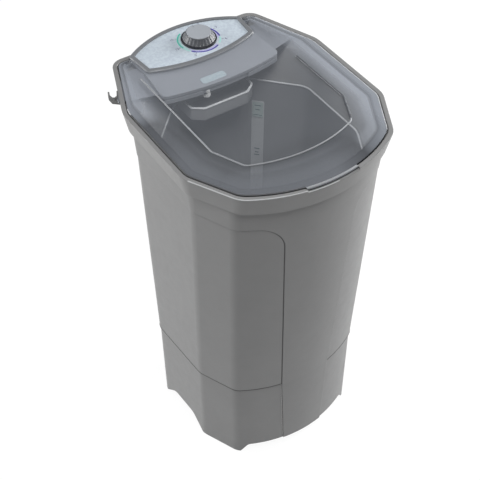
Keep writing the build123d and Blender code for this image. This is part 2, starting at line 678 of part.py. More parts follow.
def panel_overlay():
    """Pale control plate inside the bezel."""
    top = BEZEL_TOP_Z - OVERLAY_RECESS
    plate = console_prism(-BEZEL_WIDTH - 0.1, CONSOLE_TOP_Z, top)
    return plate - tube(TIMER_SHAFT_RADIUS + 1.5, 0, CONSOLE_TOP_Z, top, KNOB_X, KNOB_Y)


def timer_knob():
    """Tapered knob with a wide skirt and a socket for its cap."""
    z = BEZEL_TOP_Z - OVERLAY_RECESS + KNOB_LIFT
    r, t, h = KNOB_RADIUS, KNOB_TOP_RADIUS, KNOB_HEIGHT
    profile = [
        Line((TIMER_SHAFT_RADIUS, 0), (r, 0)),
        Line((r, 0), (r, 3)),
        Line((r, 3), (r - 3, 6)),
        Line((r - 3, 6), (t + 1.5, h - 1.5)),
        Line((t + 1.5, h - 1.5), (t, h)),
        Line((t, h), (t - 2, h)),
        Line((t - 2, h), (t - 2, h - 2.5)),
        Line((t - 2, h - 2.5), (TIMER_SHAFT_RADIUS, h - 2.5)),
        Line((TIMER_SHAFT_RADIUS, h - 2.5), (TIMER_SHAFT_RADIUS, 0)),
    ]
    knob = revolve(Plane.XZ * make_face(Wire([e.edge() for e in profile]).edges()), Axis.Z)
    return Pos(KNOB_X, KNOB_Y, z) * knob


def knob_cap():
    """Flat disc set into the knob's top."""
    z = BEZEL_TOP_Z - OVERLAY_RECESS + KNOB_LIFT + KNOB_HEIGHT
    cap = tube(KNOB_TOP_RADIUS - 2.1, 0, z - 2.5, z + 0.5)
    cap = fillet(cap.edges().sort_by(Axis.Z)[-1], 0.8)
    return Pos(KNOB_X, KNOB_Y, 0) * cap


def timer_shaft():
    """Shaft from the timer into the knob."""
    top = BEZEL_TOP_Z - OVERLAY_RECESS + KNOB_LIFT + KNOB_HEIGHT - 2.5
    return tube(TIMER_SHAFT_RADIUS, 0, CONSOLE_TOP_Z - CONSOLE_WALL - 6, top, KNOB_X, KNOB_Y)


def timer_body():
    """Mechanical timer hung under the console's top."""
    top = CONSOLE_TOP_Z - CONSOLE_WALL
    low = top - TIMER_DEPTH
    body = Pos(KNOB_X, KNOB_Y, low) * Box(TIMER_WIDTH, TIMER_WIDTH, TIMER_DEPTH - 4, align=STANDING)
    body = fillet(body.edges().filter_by(Axis.Z), 5)
    body += tube(10, 0, top - 5, top, KNOB_X, KNOB_Y)
    for sx in (-1, 1):
        body += tube(4, 0, low + TIMER_DEPTH - 5, top, KNOB_X + sx * 22, KNOB_Y + 22)
    return body - tube(TIMER_SHAFT_RADIUS + RUNNING_GAP, 0, top - 7, top + 1, KNOB_X, KNOB_Y)


def fascia_plate():
    """Bare pale plate on the hood."""
    run = CONSOLE_FRONT_CORNER + 20 - (DECK_FRONT - 5)
    rise = CONSOLE_TOP_Z - 1 - HOOD_FRONT_Z
    tilt = math.degrees(math.atan2(rise, run))
    z = HOOD_FRONT_Z + rise * (BADGE_Y - (DECK_FRONT - 5)) / run
    plate = extrude(RectangleRounded(BADGE_LENGTH, BADGE_DEPTH, 6), 0.6)
    return Pos(BADGE_X, BADGE_Y, z) * Rot(tilt, 0, 0) * plate


def dispenser_tray():
    """Open detergent tray under the hood, with rounded front corners and a wall flange."""
    tray = extrude(Pos(0, 0, TRAY_LOW) * tray_face(0), TRAY_TOP - TRAY_LOW)
    tray = fillet(tray.edges().group_by(Axis.Z)[0], 6)
    tray -= extrude(Pos(0, 0, TRAY_LOW + 2.5) * tray_face(2.5), TRAY_TOP)
    tray += Pos(0, TRAY_REAR, TRAY_TOP) * Box(100, 5.5, 16, align=(Align.CENTER, Align.MIN, Align.MAX))
    for x in (-34, 34):
        tray -= Pos(x, TRAY_REAR, TRAY_TOP - 8) * Rot(90, 0, 0) * Cylinder(2, 30)
    return tray


def tray_face(d):
    """Tray plan drawn in by d."""
    pts = [
        (-TRAY_HALF + d, TRAY_REAR - d), (-TRAY_HALF + 14 + d, TRAY_FRONT + 18),
        (-TRAY_HALF + 34 + d, TRAY_FRONT + d), (TRAY_HALF - 34 - d, TRAY_FRONT + d),
        (TRAY_HALF - 14 - d, TRAY_FRONT + 18), (TRAY_HALF - d, TRAY_REAR - d),
    ]
    face = make_face(Polyline(*pts, close=True).edges())
    return fillet(face.vertices().sort_by(Axis.Y)[:4], 10)


def inlet_nozzle():
    """Water spout that hangs under the hood's front edge."""
    top = INLET_TUBE_Z + INLET_TUBE_RADIUS
    spout = tube(9, 0, NOZZLE_Z, top, INLET_X, NOZZLE_Y)
    spout += Pos(INLET_X, NOZZLE_Y, INLET_TUBE_Z) * Rot(-90, 0, 0) * Cylinder(
        INLET_TUBE_RADIUS + 1.5, 20, align=STANDING
    )
    spout -= tube(6, 0, NOZZLE_Z, INLET_TUBE_Z, INLET_X, NOZZLE_Y)
    spout -= Pos(INLET_X, NOZZLE_Y, INLET_TUBE_Z) * Rot(-90, 0, 0) * Cylinder(
        INLET_TUBE_RADIUS - 2, 20, align=STANDING
    )
    return spout


def inlet_tube():
    """Straight tube between the inlet fitting and the spout."""
    start = NOZZLE_Y + 20
    run = INLET_Y - 14 - start
    pipe = Cylinder(INLET_TUBE_RADIUS, run, align=STANDING)
    pipe -= Cylinder(INLET_TUBE_RADIUS - 2, run, align=STANDING)
    return Pos(INLET_X, start, INLET_TUBE_Z) * Rot(-90, 0, 0) * pipe


def inlet_fitting():
    """Hose connection under the console, turned forwards into the inlet tube."""
    low = BAND_Z - CONSOLE_WALL
    body = tube(INLET_RADIUS, 0, low - INLET_REACH, low - 2, INLET_X, INLET_Y)
    body = chamfer(body.edges().sort_by(Axis.Z)[0], INLET_LEAD)
    body += tube(INLET_RADIUS - 1, 0, low - 2, BAND_Z, INLET_X, INLET_Y)
    body += tube(INLET_RADIUS + 3, 0, BAND_Z, BAND_Z + 2, INLET_X, INLET_Y)
    body += tube(INLET_TUBE_RADIUS + 4, 0, BAND_Z + 2, INLET_TUBE_Z + 12, INLET_X, INLET_Y)
    body += Pos(INLET_X, INLET_Y, INLET_TUBE_Z) * Rot(90, 0, 0) * Cylinder(
        INLET_TUBE_RADIUS + 2, 14, align=STANDING
    )
    body -= tube(9, 0, low - INLET_REACH, INLET_TUBE_Z, INLET_X, INLET_Y)
    body -= Pos(INLET_X, INLET_Y, INLET_TUBE_Z) * Rot(90, 0, 0) * Cylinder(
        INLET_TUBE_RADIUS - 2, 14, align=STANDING
    )
    return body


def cord_gland():
    """Bushing for the mains lead in the console's bottom cover."""
    low = BAND_Z - CONSOLE_WALL
    gland = tube(GLAND_RADIUS, 0, low, BAND_Z, GLAND_X, GLAND_Y)
    gland += tube(GLAND_RADIUS + 3, 0, low - 4, low, GLAND_X, GLAND_Y)
    gland += tube(GLAND_RADIUS - 1.5, 0, low - 16, low - 4, GLAND_X, GLAND_Y)
    return gland - tube(GLAND_RADIUS - 3.5, 0, low - 16, BAND_Z, GLAND_X, GLAND_Y)


def lid():
    """Clear lid: sloped border, raised middle, console notch, front tab and hinge ears."""
    low = RIM_Z - LID_SKIRT
    outer = LID.prism(low, RIM_Z) + loft([LID.face(RIM_Z), CREASE.face(PLATEAU_Z)], ruled=True)
    under = RIM_Z - LID_WALL
    inner = LID.inset(LID_WALL).prism(low, under)
    inner += loft([LID.inset(LID_WALL).face(under), CREASE.face(PLATEAU_Z - LID_WALL)], ruled=True)
    collar = console_prism(LID_BEZEL_GAP + 2.5, CONSOLE_TOP_Z + 1.5, PLATEAU_Z)
    ears = Part()
    for side in (-1, 1):
        ear = Box(13, 14, 20, align=(Align.MIN, Align.CENTER, Align.MIN))
        x = CONSOLE_HALF_REAR + LID_BEZEL_GAP
        ear = Pos(x, HINGE_Y - 1, low) * ear
        ears += ear if side > 0 else mirror(ear, Plane.YZ)
    body = outer - (inner - collar - ears)
    tab = RIM_TOP.inset(LIP_WIDTH + LID_GAP - LID_TAB_REACH).prism(RIM_Z - 3.5, RIM_Z + 1)
    body += tab & (Pos(0, LID_FRONT, RIM_Z) * Box(2 * LID_TAB_HALF, 26, 20))
    body -= console_prism(LID_BEZEL_GAP, low - 5, PLATEAU_Z + 5)
    bore = Rot(0, 90, 0) * Cylinder(HINGE_PIN_RADIUS, 2 * (CONSOLE_HALF_REAR + 10))
    return body - Pos(0, HINGE_Y, HINGE_Z) * bore


def hinge_pins():
    """Two pins pressed into the lid's ears, turning in the console's side walls."""
    x = CONSOLE_HALF_REAR + 10
    pin = Cylinder(HINGE_PIN_RADIUS, HINGE_PIN_LENGTH, align=HANGING)
    right = Pos(x, HINGE_Y, HINGE_Z) * Rot(0, 90, 0) * pin
    return [right, mirror(right, Plane.YZ)]


def level_strip():
    """Translucent water-level strip on the tub's right rear facet."""
    c = LEDGE.inset(TUB_LIP).corners
    d = TUB_BASE.inset(TUB_WALL).corners
    (ax, ay), (bx, by) = c[3], c[2]
    cx, cy = d[3]
    run = math.hypot(bx - ax, by - ay)
    ux, uy = (bx - ax) / run, (by - ay) / run
    nx, ny = uy, -ux
    depth = (ax - cx) * nx + (ay - cy) * ny
    top = Vector(ax + ux * LEVEL_OFFSET, ay + uy * LEVEL_OFFSET, LEDGE_Z)
    down = Vector(-abs(nx) * abs(depth), -abs(ny) * abs(depth), -(LEDGE_Z - TUB_FLOOR_Z)).normalized()
    normal = Vector(ux, uy, 0).cross(down)
    if normal.X > 0:
        normal = normal * -1
    facet = Plane(origin=top, x_dir=down, z_dir=normal)
    outline = RectangleRounded(LEVEL_LOW - LEVEL_TOP, LEVEL_WIDTH, 4)
    return extrude(facet * Pos((LEVEL_TOP + LEVEL_LOW) / 2, 0) * outline, 0.6)


def pulsator_disc():
    """Dished pulsator with six swept vanes, a hub and a turned-down rim."""
    r = PULSATOR_RADIUS
    low = PULSATOR_Z - 5
    profile = Polyline(
        (SHAFT_RADIUS, 0), (34, 0), (36, 1.5), (r - 14, 1.5), (r - 12, 0), (r - 2, 0), (r, 2.5),
        (r - 3, 6), (r - 22, 5), (44, 9), (PULSATOR_HUB + 5, 20), (PULSATOR_HUB, 22), (PULSATOR_HUB, 16),
        (SHAFT_RADIUS, 16), close=True,
    )
    disc = revolve(Plane.XZ * make_face(profile.edges()), Axis.Z)
    side = Polyline((30, 4), (r - 14, 4), (r - 14, 7), (r - 60, 26), (50, 32), (30, 20), close=True)
    vane = extrude(Plane.XZ * make_face(side.edges()), 5, both=True)
    ridge = vane.edges().filter_by(lambda e: e.center().Z > 12 and e.length > 20)
    vane = fillet(ridge.filter_by(Plane.XZ), 3)
    for index in range(VANE_COUNT):
        disc += Rot(0, 0, index * 360 / VANE_COUNT) * vane
    disc -= tube(PULSATOR_HUB, 0, 16, 40)
    disc -= tube(SHAFT_RADIUS, 0, -1, 17)
    for index in range(VANE_COUNT):
        for radius in (r - 48, r - 34):
            angle = math.radians((index + 0.5) * 360 / VANE_COUNT)
            disc -= tube(3, 0, -5, 20, radius * math.cos(angle), radius * math.sin(angle))
    return Pos(0, DRIVE_Y, low) * disc


def pulsator_cap():
    """Domed cap set in the pulsator's hub over the shaft's end."""
    low = PULSATOR_Z - 5 + 18
    r, edge, rise = PULSATOR_HUB - 0.1, 5.0, 4.0
    dome = (r**2 + rise**2) / (2 * rise)
    middle = (r / 2, edge + rise - dome + math.sqrt(dome**2 - r**2 / 4))
    crown = ThreePointArc((r, edge), middle, (0, edge + rise))
    lines = [Line((0, 0), (r, 0)), Line((r, 0), (r, edge)), crown, Line((0, edge + rise), (0, 0))]
    cap = revolve(Plane.XZ * make_face(Wire([e.edge() for e in lines]).edges()), Axis.Z)
    return Pos(0, DRIVE_Y, low) * cap


def drive_shaft():
    """Pulsator shaft with chamfered ends."""
    top = PULSATOR_Z - 5 + 16
    shaft = tube(SHAFT_RADIUS, 0, SHAFT_BOTTOM, top, 0, DRIVE_Y)
    return chamfer(shaft.edges().filter_by(GeomType.CIRCLE), 0.6)


def pulley(radius, hub, bore, spokes):
    """V-groove pulley about Z, centred on the belt's height."""
    half = PULLEY_WIDTH / 2
    mouth = BELT_WIDTH / 2 + BELT_GAP
    throat = mouth - 1.6
    depth = BELT_DEPTH + BELT_GAP
    rim = [
        (radius - depth - 3, -half), (radius, -half), (radius, -mouth), (radius - depth, -throat),
        (radius - depth, throat), (radius, mouth), (radius, half), (radius - depth - 3, half),
    ]
    if not spokes:
        rim[0], rim[-1] = (bore, -half), (bore, half)
        return revolve(Plane.XZ * make_face(Polyline(*rim, close=True).edges()), Axis.Z)
    wheel = revolve(Plane.XZ * make_face(Polyline(*rim, close=True).edges()), Axis.Z)
    web = tube(radius - depth - 2, bore, -3, 3)
    for index in range(spokes):
        path = CenterArc((0, 0), (radius + hub) / 2 - 5, -14, 28)
        window = extrude(Plane.XY * SlotArc(path, 28), 8, both=True)
        web -= Rot(0, 0, index * 360 / spokes) * window
    return wheel + web + tube(hub, bore, -half, half)


def large_pulley():
    """Spoked pulley pressed on the pulsator shaft."""
    return Pos(0, DRIVE_Y, PULLEY_Z + PULLEY_WIDTH / 2) * pulley(PULLEY_RADIUS, 14, SHAFT_RADIUS, 5)


def motor_pulley():
    """Small pulley on the motor shaft."""
    y = DRIVE_Y + MOTOR_SPACING
    return Pos(0, y, PULLEY_Z + PULLEY_WIDTH / 2) * pulley(MOTOR_PULLEY_RADIUS, 0, MOTOR_SHAFT_RADIUS, 0)


def pulley_nut():
    """Hexagon nut that clamps the pulley on the shaft."""
    nut = extrude(RegularPolygon(10, 6), 7) - tube(SHAFT_RADIUS, 0, 0, 7)
    return Pos(0, DRIVE_Y, PULLEY_Z - 7) * nut


def belt_plan(grow):
    """Plan of the belt's run, as wide as each pulley radius plus grow."""
    big = PULLEY_RADIUS + grow
    small = MOTOR_PULLEY_RADIUS + grow
    lean = math.acos((big - small) / MOTOR_SPACING)
    front = (0, DRIVE_Y)
    rear = (0, DRIVE_Y + MOTOR_SPACING)

    def at(centre, radius, angle):
        """Point on a pulley's circle, by its angle from straight back."""
        return (centre[0] + radius * math.sin(angle), centre[1] + radius * math.cos(angle))

    edges = [
        ThreePointArc(at(front, big, lean), at(front, big, math.pi), at(front, big, -lean)),
        Line(at(front, big, -lean), at(rear, small, -lean)),
        ThreePointArc(at(rear, small, -lean), at(rear, small, 0), at(rear, small, lean)),
        Line(at(rear, small, lean), at(front, big, lean)),
    ]
    return make_face(Wire([e.edge() for e in edges]).edges())


def drive_belt():
    """V-belt round both pulleys."""
    middle = PULLEY_Z + PULLEY_WIDTH / 2
    half = BELT_WIDTH / 2
    crown = 1.0
    root = crown - BELT_DEPTH
    belt = extrude(Pos(0, 0, middle - half) * belt_plan(crown), BELT_WIDTH)
    sides = (((-half, crown - 0.4), (1.6 - half, root)), ((half - 1.6, root), (half, crown - 0.4)))
    low, high = [[Pos(0, 0, middle + z) * belt_plan(grow) for z, grow in side] for side in sides]
    belt -= loft(low, ruled=True)
    belt -= extrude(low[1], BELT_WIDTH - 3.2)
    return belt - loft(high, ruled=True)


def shaft_housing():
    """Bearing housing: flange under the drive plate, sleeve and spigot."""
    body = tube(45, 0, PLATE_Z - 6, PLATE_Z, 0, DRIVE_Y)
    body += tube(18, 0, PULLEY_Z + PULLEY_WIDTH + 6, TUB_FLOOR_Z - TUB_FLOOR - 0.4, 0, DRIVE_Y)
    side = Polyline((-1, 1), (24, 1), (24, 0), (4, -36), (-1, -36), close=True)
    for index in range(4):
        rib = Pos(18, 0, PLATE_Z - 6) * extrude(Plane.XZ * make_face(side.edges()), 2.5, both=True)
        body += Pos(0, DRIVE_Y, 0) * Rot(0, 0, index * 90) * rib
    body -= tube(BUSH_RADIUS, 0, PULLEY_Z, TUB_FLOOR_Z, 0, DRIVE_Y)
    for x, y in housing_points():
        body -= tube(2.5, 0, PLATE_Z - 8, PLATE_Z + 1, x, y)
    return body


def housing_points():
    """Screw positions on the bearing housing's flange."""
    turn = [math.radians(45 + 90 * index) for index in range(4)]
    return [(36 * math.cos(a), DRIVE_Y + 36 * math.sin(a)) for a in turn]


def shaft_bushes():
    """Upper and lower sintered bushes of the pulsator shaft."""
    bottoms = (PULLEY_Z + PULLEY_WIDTH + 6, TUB_FLOOR_Z - TUB_FLOOR - 21)
    return [tube(BUSH_RADIUS, SHAFT_RADIUS + RUNNING_GAP, z, z + 20, 0, DRIVE_Y) for z in bottoms]


def shaft_seal():
    """Lip seal pressed in the tub's floor round the shaft."""
    low, top = TUB_FLOOR_Z - TUB_FLOOR, TUB_FLOOR_Z + 3
    seal = tube(SEAL_RADIUS, SHAFT_RADIUS + RUNNING_GAP, low, top, 0, DRIVE_Y)
    groove = tube(SEAL_RADIUS - 3, SHAFT_RADIUS + 2, TUB_FLOOR_Z - 1, top, 0, DRIVE_Y)
    return seal - groove


def drive_plate():
    """Pressed plate that carries the bearing housing and the motor."""
    middle = (PLATE_FRONT + PLATE_REAR) / 2
    width, depth = 2 * PLATE_HALF, PLATE_REAR - PLATE_FRONT
    whole = RectangleRounded(width, depth, 10)
    inside = RectangleRounded(width - 2 * PLATE_THICK, depth - 2 * PLATE_THICK, 8)
    plate = extrude(Pos(0, middle, PLATE_Z) * whole, PLATE_THICK)
    rim = extrude(Pos(0, middle, PLATE_Z - 12) * whole, 12)
    rim -= extrude(Pos(0, middle, PLATE_Z - 12) * inside, 12)
    plate += rim
    plate -= tube(18.3, 0, PLATE_Z - 1, PLATE_Z + 5, 0, DRIVE_Y)
    for x, y in plate_bolts():
        plate -= tube(2.5, 0, PLATE_Z - 1, PLATE_Z + 5, x, y)
    for x, y in housing_points() + motor_points() + capacitor_points():
        plate -= tube(2.5, 0, PLATE_Z - 1, PLATE_Z + 5, x, y)
    for x in (-1, 1):
        plate -= extrude(Pos(x * 58, DRIVE_Y, PLATE_Z - 1) * SlotOverall(70, 18, rotation=90), 5)
    return plate


def motor_points():
    """Long screw positions of the motor."""
    turn = [math.radians(45 + 90 * index) for index in range(4)]
    y = DRIVE_Y + MOTOR_SPACING
    return [(MOTOR_BOLT_RADIUS * math.cos(a), y + MOTOR_BOLT_RADIUS * math.sin(a)) for a in turn]


def plate_screws():
    """Screws from the drive plate up into the tub's floor."""
    one = Rot(180, 0, 0) * screw(2.0, PLATE_THICK + TUB_FLOOR_Z - 1.5 - PLATE_Z - PLATE_THICK - 0.5, 4.2, 3)
    return [Pos(x, y, PLATE_Z) * one for x, y in plate_bolts()]


def housing_screws():
    """Screws through the bearing housing's flange and the drive plate."""
    one = Rot(180, 0, 0) * screw(2.2, 6 + PLATE_THICK, 4.2, 3)
    return [Pos(x, y, PLATE_Z - 6) * one for x, y in housing_points()]


def motor_stator():
    """Laminated stator ring with four notches."""
    low = MOTOR_BOTTOM + 18
    high = MOTOR_BOTTOM + MOTOR_HEIGHT - 18
    y = DRIVE_Y + MOTOR_SPACING
    ring = tube(MOTOR_RADIUS, MOTOR_BORE, low, high)
    for index in range(4):
        ring -= Rot(0, 0, index * 90 + 45) * (Pos(MOTOR_BOLT_RADIUS, 0, low - 1) * Cylinder(2.5, 200))
    for index in range(12):
        slot = Pos(MOTOR_BORE, 0, low - 1) * Box(20, 5, 200)
        ring -= Rot(0, 0, index * 30) * slot
    return Pos(0, y, 0) * ring


def motor_windings():
    """Winding heads above and below the stator."""
    y = DRIVE_Y + MOTOR_SPACING
    rings = []
    for low in (MOTOR_BOTTOM + 5, MOTOR_BOTTOM + MOTOR_HEIGHT - 18):
        ring = tube(MOTOR_BORE + 13, MOTOR_BORE + 2, low, low + 13)
        ring = chamfer(ring.edges().filter_by(GeomType.CIRCLE), 3)
        rings.append(Pos(0, y, 0) * ring)
    return rings


def motor_end_caps():
    """Pressed end covers of the motor with bearing seats and vents."""
    y = DRIVE_Y + MOTOR_SPACING
    r, bore = MOTOR_RADIUS, MOTOR_SHAFT_RADIUS + RUNNING_GAP
    profile = [
        (bore, 0), (12, 0), (12, 2), (r - 6, 2), (r, 6), (r, 18),
        (r - 2, 18), (r - 2, 7), (r - 7, 4), (12, 4), (10, 12), (bore, 12),
    ]
    cap = revolve(Plane.XZ * make_face(Polyline(*profile, close=True).edges()), Axis.Z)
    for index in range(8):
        cap -= Rot(0, 0, index * 45 + 22.5) * (Pos(30, 0, 0) * Box(22, 7, 30))
    for index in range(4):
        a = math.radians(45 + 90 * index)
        x0, y0 = MOTOR_BOLT_RADIUS * math.cos(a), MOTOR_BOLT_RADIUS * math.sin(a)
        cap += tube(5, 0, 0, 18, x0, y0)
        cap -= tube(2.3, 0, -1, 20, x0, y0)
    low = Pos(0, y, MOTOR_BOTTOM) * cap
    high = Pos(0, y, MOTOR_BOTTOM + MOTOR_HEIGHT) * Rot(180, 0, 0) * cap
    for x0, y0 in motor_points():
        foot = tube(5, 2.3, MOTOR_BOTTOM + MOTOR_HEIGHT - 6, PLATE_Z, x0, y0)
        high += foot
    return [low, high]


def motor_screws():
    """Long screws through the motor up into the drive plate."""
    length = PLATE_Z + PLATE_THICK - MOTOR_BOTTOM
    one = Rot(180, 0, 0) * screw(2.2, length, 4, 3)
    return [Pos(x, y, MOTOR_BOTTOM) * one for x, y in motor_points()]


def motor_rotor():
    """Squirrel-cage rotor with end rings."""
    y = DRIVE_Y + MOTOR_SPACING
    low = MOTOR_BOTTOM + 18
    high = MOTOR_BOTTOM + MOTOR_HEIGHT - 18
    core = tube(MOTOR_BORE - 0.5, MOTOR_SHAFT_RADIUS, low, high, 0, y)
    core += tube(MOTOR_BORE - 5, MOTOR_BORE - 12, low - 4, high + 4, 0, y)
    return core


def motor_shaft():
    """Motor shaft that carries rotor, fan and small pulley."""
    y = DRIVE_Y + MOTOR_SPACING
    shaft = tube(MOTOR_SHAFT_RADIUS, 0, PULLEY_Z - 3, MOTOR_BOTTOM + MOTOR_HEIGHT, 0, y)
    return chamfer(shaft.edges().filter_by(GeomType.CIRCLE), 0.5)


def motor_fan():
    """Cooling fan between the small pulley and the motor."""
    y = DRIVE_Y + MOTOR_SPACING
    low = PULLEY_Z + PULLEY_WIDTH
    fan = tube(10, MOTOR_SHAFT_RADIUS, low, low + 9)
    fan += tube(44, MOTOR_SHAFT_RADIUS, low + 1, low + 2.5)
    for index in range(9):
        blade = Rot(0, 0, index * 40) * Pos(27, 0, low + 2) * Rot(0, 0, 25) * Box(30, 1.6, 7, align=STANDING)
        fan += blade
    return Pos(0, y, 0) * fan


def capacitor_spot():
    """Place of the capacitor's axis under the front of the drive plate."""
    return Pos(0, PLATE_FRONT + PLATE_THICK + CAPACITOR_RADIUS + 1.5, PLATE_Z - 2 - CAPACITOR_RADIUS)


def capacitor():
    """Motor run capacitor with a flat terminal end."""
    can = Cylinder(CAPACITOR_RADIUS, CAPACITOR_LENGTH)
    can = chamfer(can.edges().filter_by(GeomType.CIRCLE), 1.5)
    for y in (-5, 5):
        can += Pos(0, y, CAPACITOR_LENGTH / 2) * Box(6, 0.8, 16)
    return capacitor_spot() * Rot(0, 90, 0) * can


def capacitor_clip():
    """Strap round the capacitor with two screwed ears."""
    ring = Cylinder(CAPACITOR_RADIUS + 1.2, 16) - Cylinder(CAPACITOR_RADIUS, 16)
    r = CAPACITOR_RADIUS + 1.2
    clip = Rot(0, 90, 0) * ring
    clip -= Pos(0, 0, r) * Box(20, 60, 2 * r)
    wall = Box(16, 1.2, CAPACITOR_RADIUS + 2, align=STANDING)
    for side in (-1, 1):
        clip += Pos(0, side * (CAPACITOR_RADIUS + 0.6), 0) * wall
    ear = Pos(0, CAPACITOR_RADIUS + 7, CAPACITOR_RADIUS + 0.8) * Box(16, 14, 1.2, align=STANDING)
    clip += ear
    clip -= Pos(0, CAPACITOR_RADIUS + 8, CAPACITOR_RADIUS) * Cylinder(2.5, 10)
    return capacitor_spot() * clip


def capacitor_points():
    """Screw position of the capacitor's strap."""
    spot = capacitor_spot().position
    return [(spot.X, spot.Y + CAPACITOR_RADIUS + 8)]


def capacitor_screw():
    """Screw of the capacitor's strap."""
    x, y = capacitor_points()[0]
    return Pos(x, y, PLATE_Z - 1.2) * Rot(180, 0, 0) * screw(2.2, 1.2 + PLATE_THICK, 3.8, 2.4)


def drain_elbow():
    """Drain bend bonded in the tub's floor, turning to the rear."""
    turn = (DRAIN_X, DRAIN_Y, DRAIN_Z)
    path = FilletPolyline((DRAIN_X, DRAIN_Y, TUB_FLOOR_Z), turn, (DRAIN_X, DRAIN_Y + 50, DRAIN_Z), radius=20)
    start = Plane(origin=(DRAIN_X, DRAIN_Y, TUB_FLOOR_Z), z_dir=(0, 0, -1))
    bore = DRAIN_RADIUS - DRAIN_WALL
    bend = sweep(start * Circle(DRAIN_RADIUS), path=path) - sweep(start * Circle(bore), path=path)
    under = TUB_FLOOR_Z - TUB_FLOOR
    bend += tube(DRAIN_RADIUS + 8, DRAIN_RADIUS - 1, under - 3, under, DRAIN_X, DRAIN_Y)
    end = Pos(DRAIN_X, DRAIN_Y + 50, DRAIN_Z) * Rot(-90, 0, 0)
    bend += end * (
        Cylinder(DRAIN_RADIUS + 2.5, 26, align=STANDING)
        - Cylinder(DRAIN_RADIUS, 26, align=STANDING)
    )
    flare = Cylinder(DRAIN_RADIUS + 2.5, 3, align=HANGING) - Cylinder(bore, 3, align=HANGING)
    return bend + end * flare


def drain_outlet():
    """Drain pipe through the skirt's rear wall, with a stop collar and a plain end for the hose."""
    start = DRAIN_Y + 50
    length = BODY_REAR - REAR_TAPER + 28 - start
    bore = DRAIN_RADIUS - DRAIN_WALL
    neck = DRAIN_RADIUS - 0.6
    stop = length - SPIGOT_LENGTH
    profile = [
        (bore, 0), (DRAIN_RADIUS, 0), (DRAIN_RADIUS, 26), (neck, 26), (neck, stop - 2.5),
        (SPIGOT_COLLAR, stop - 2.5), (SPIGOT_COLLAR, stop), (DRAIN_RADIUS, stop),
        (DRAIN_RADIUS, length - SPIGOT_LEAD),
        (DRAIN_RADIUS - SPIGOT_LEAD, length), (bore, length),
    ]
    pipe = revolve(Plane.XZ * make_face(Polyline(*profile, close=True).edges()), Axis.Z)
    return Pos(DRAIN_X, start, DRAIN_Z) * Rot(-90, 0, 0) * pipe


def drain_clamp():
    """Band clamp on the elbow's socket."""
    spot = Pos(DRAIN_X, DRAIN_Y + 60, DRAIN_Z) * Rot(-90, 0, 0)
    band = Cylinder(DRAIN_RADIUS + 3.7, 9) - Cylinder(DRAIN_RADIUS + 2.5, 9)
    band += Pos(0, DRAIN_RADIUS + 7, 0) * Box(9, 9, 9) - Cylinder(DRAIN_RADIUS + 2.5, 9)
    return spot * band


def drain_grate():
    """Slotted grate in the tub's drain hole."""
    grate = tube(DRAIN_RADIUS - DRAIN_WALL, 0, TUB_FLOOR_Z - 3, TUB_FLOOR_Z, DRAIN_X, DRAIN_Y)
    for index in range(-2, 3):
        length = 2 * math.sqrt(max(9.0**2 - (index * 4) ** 2, 4))
        grate -= Pos(DRAIN_X + index * 4, DRAIN_Y, TUB_FLOOR_Z) * Box(2, length, 20)
    return grate


def hook_plane(z=0.0):
    """Plane square to the rim's rear left facet at the hook: X outwards, Y up."""
    (x2, y2), (x3, y3) = RIM_TOP.corners[2], RIM_TOP.corners[3]
    run = math.hypot(x3 - x2, y3 - y2)
    nx, ny = -(y3 - y2) / run, (x2 - x3) / run
    share = (HOOK_SPOT_Y - y2) / (y3 - y2)
    x = -(x2 + share * (x3 - x2))
    return Plane(origin=(x, HOOK_SPOT_Y, z), x_dir=(nx, ny, 0), z_dir=(ny, -nx, 0))


def band_depth(z):
    """How far the band's face has drawn in at height z."""
    return (z - RIM_Z) * BAND_DRAFT / (RIM_Z - BAND_Z)


def hook_peg(z):
    """Peg of the hose hook through the rim's wall."""
    spot = hook_plane() * Pos(band_depth(z) + 1, z) * Rot(0, -90, 0)
    return spot * Cylinder(HOOK_PEG, SHELL_WALL + 2.5, align=STANDING)


def hose_hook():
    """Open hook that holds the drain hose up, pegged into the rim."""
    top, low = RIM_Z - 16, RIM_Z - 45
    points = [
        (band_depth(low), low), (band_depth(top), top), (band_depth(top) + 4, top), (2, top - 13),
        (6, top - 17), (11, top - 16), (15.5, top - 10), (16.5, top), (20, top), (20, top - 12),
        (13, top - 24), (band_depth(low) + 4, low),
    ]
    side = make_face(Polyline(*points, close=True).edges())
    hook = extrude(hook_plane() * side, HOOK_WIDTH / 2, both=True)
    for z in (top - 5, low + 6):
        hook += hook_peg(z)
    return hook


SUB_PARTS = (
    top_frame, body_shell, base_skirt, foot_pads, rear_cover, rear_cover_screws, wash_tub,
    tub_screws, console_housing, console_cover, cover_screws, panel_bezel, panel_overlay,
    timer_knob, knob_cap, timer_shaft, timer_body, fascia_plate, dispenser_tray, inlet_nozzle,
    inlet_tube, inlet_fitting, cord_gland, lid, hinge_pins, level_strip, pulsator_disc,
    pulsator_cap, drive_shaft, shaft_housing, shaft_bushes, shaft_seal, housing_screws,
    drive_plate, plate_screws, large_pulley, pulley_nut, drive_belt, motor_pulley, motor_fan,
    motor_shaft, motor_rotor, motor_stator, motor_windings, motor_end_caps, motor_screws,
    capacitor, capacitor_clip, capacitor_screw, drain_elbow, drain_outlet, drain_clamp,
    drain_grate, hose_hook,
)


def export():
    """Write one STEP file for each sub-part, named as its function."""
    os.makedirs("parts", exist_ok=True)
    for make in SUB_PARTS:
        made = make()
        solids = made if isinstance(made, list) else [made]
        solids = [solid for item in solids for solid in item.solids()]
        shape = solids[0] if len(solids) == 1 else Compound(children=solids)
        export_step(shape, f"parts/{make.__name__}.step")


export()
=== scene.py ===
import json
import logging
import math
from collections.abc import Callable
from dataclasses import dataclass
from enum import Enum

import bpy
import bmesh
from mathutils import Matrix, Vector

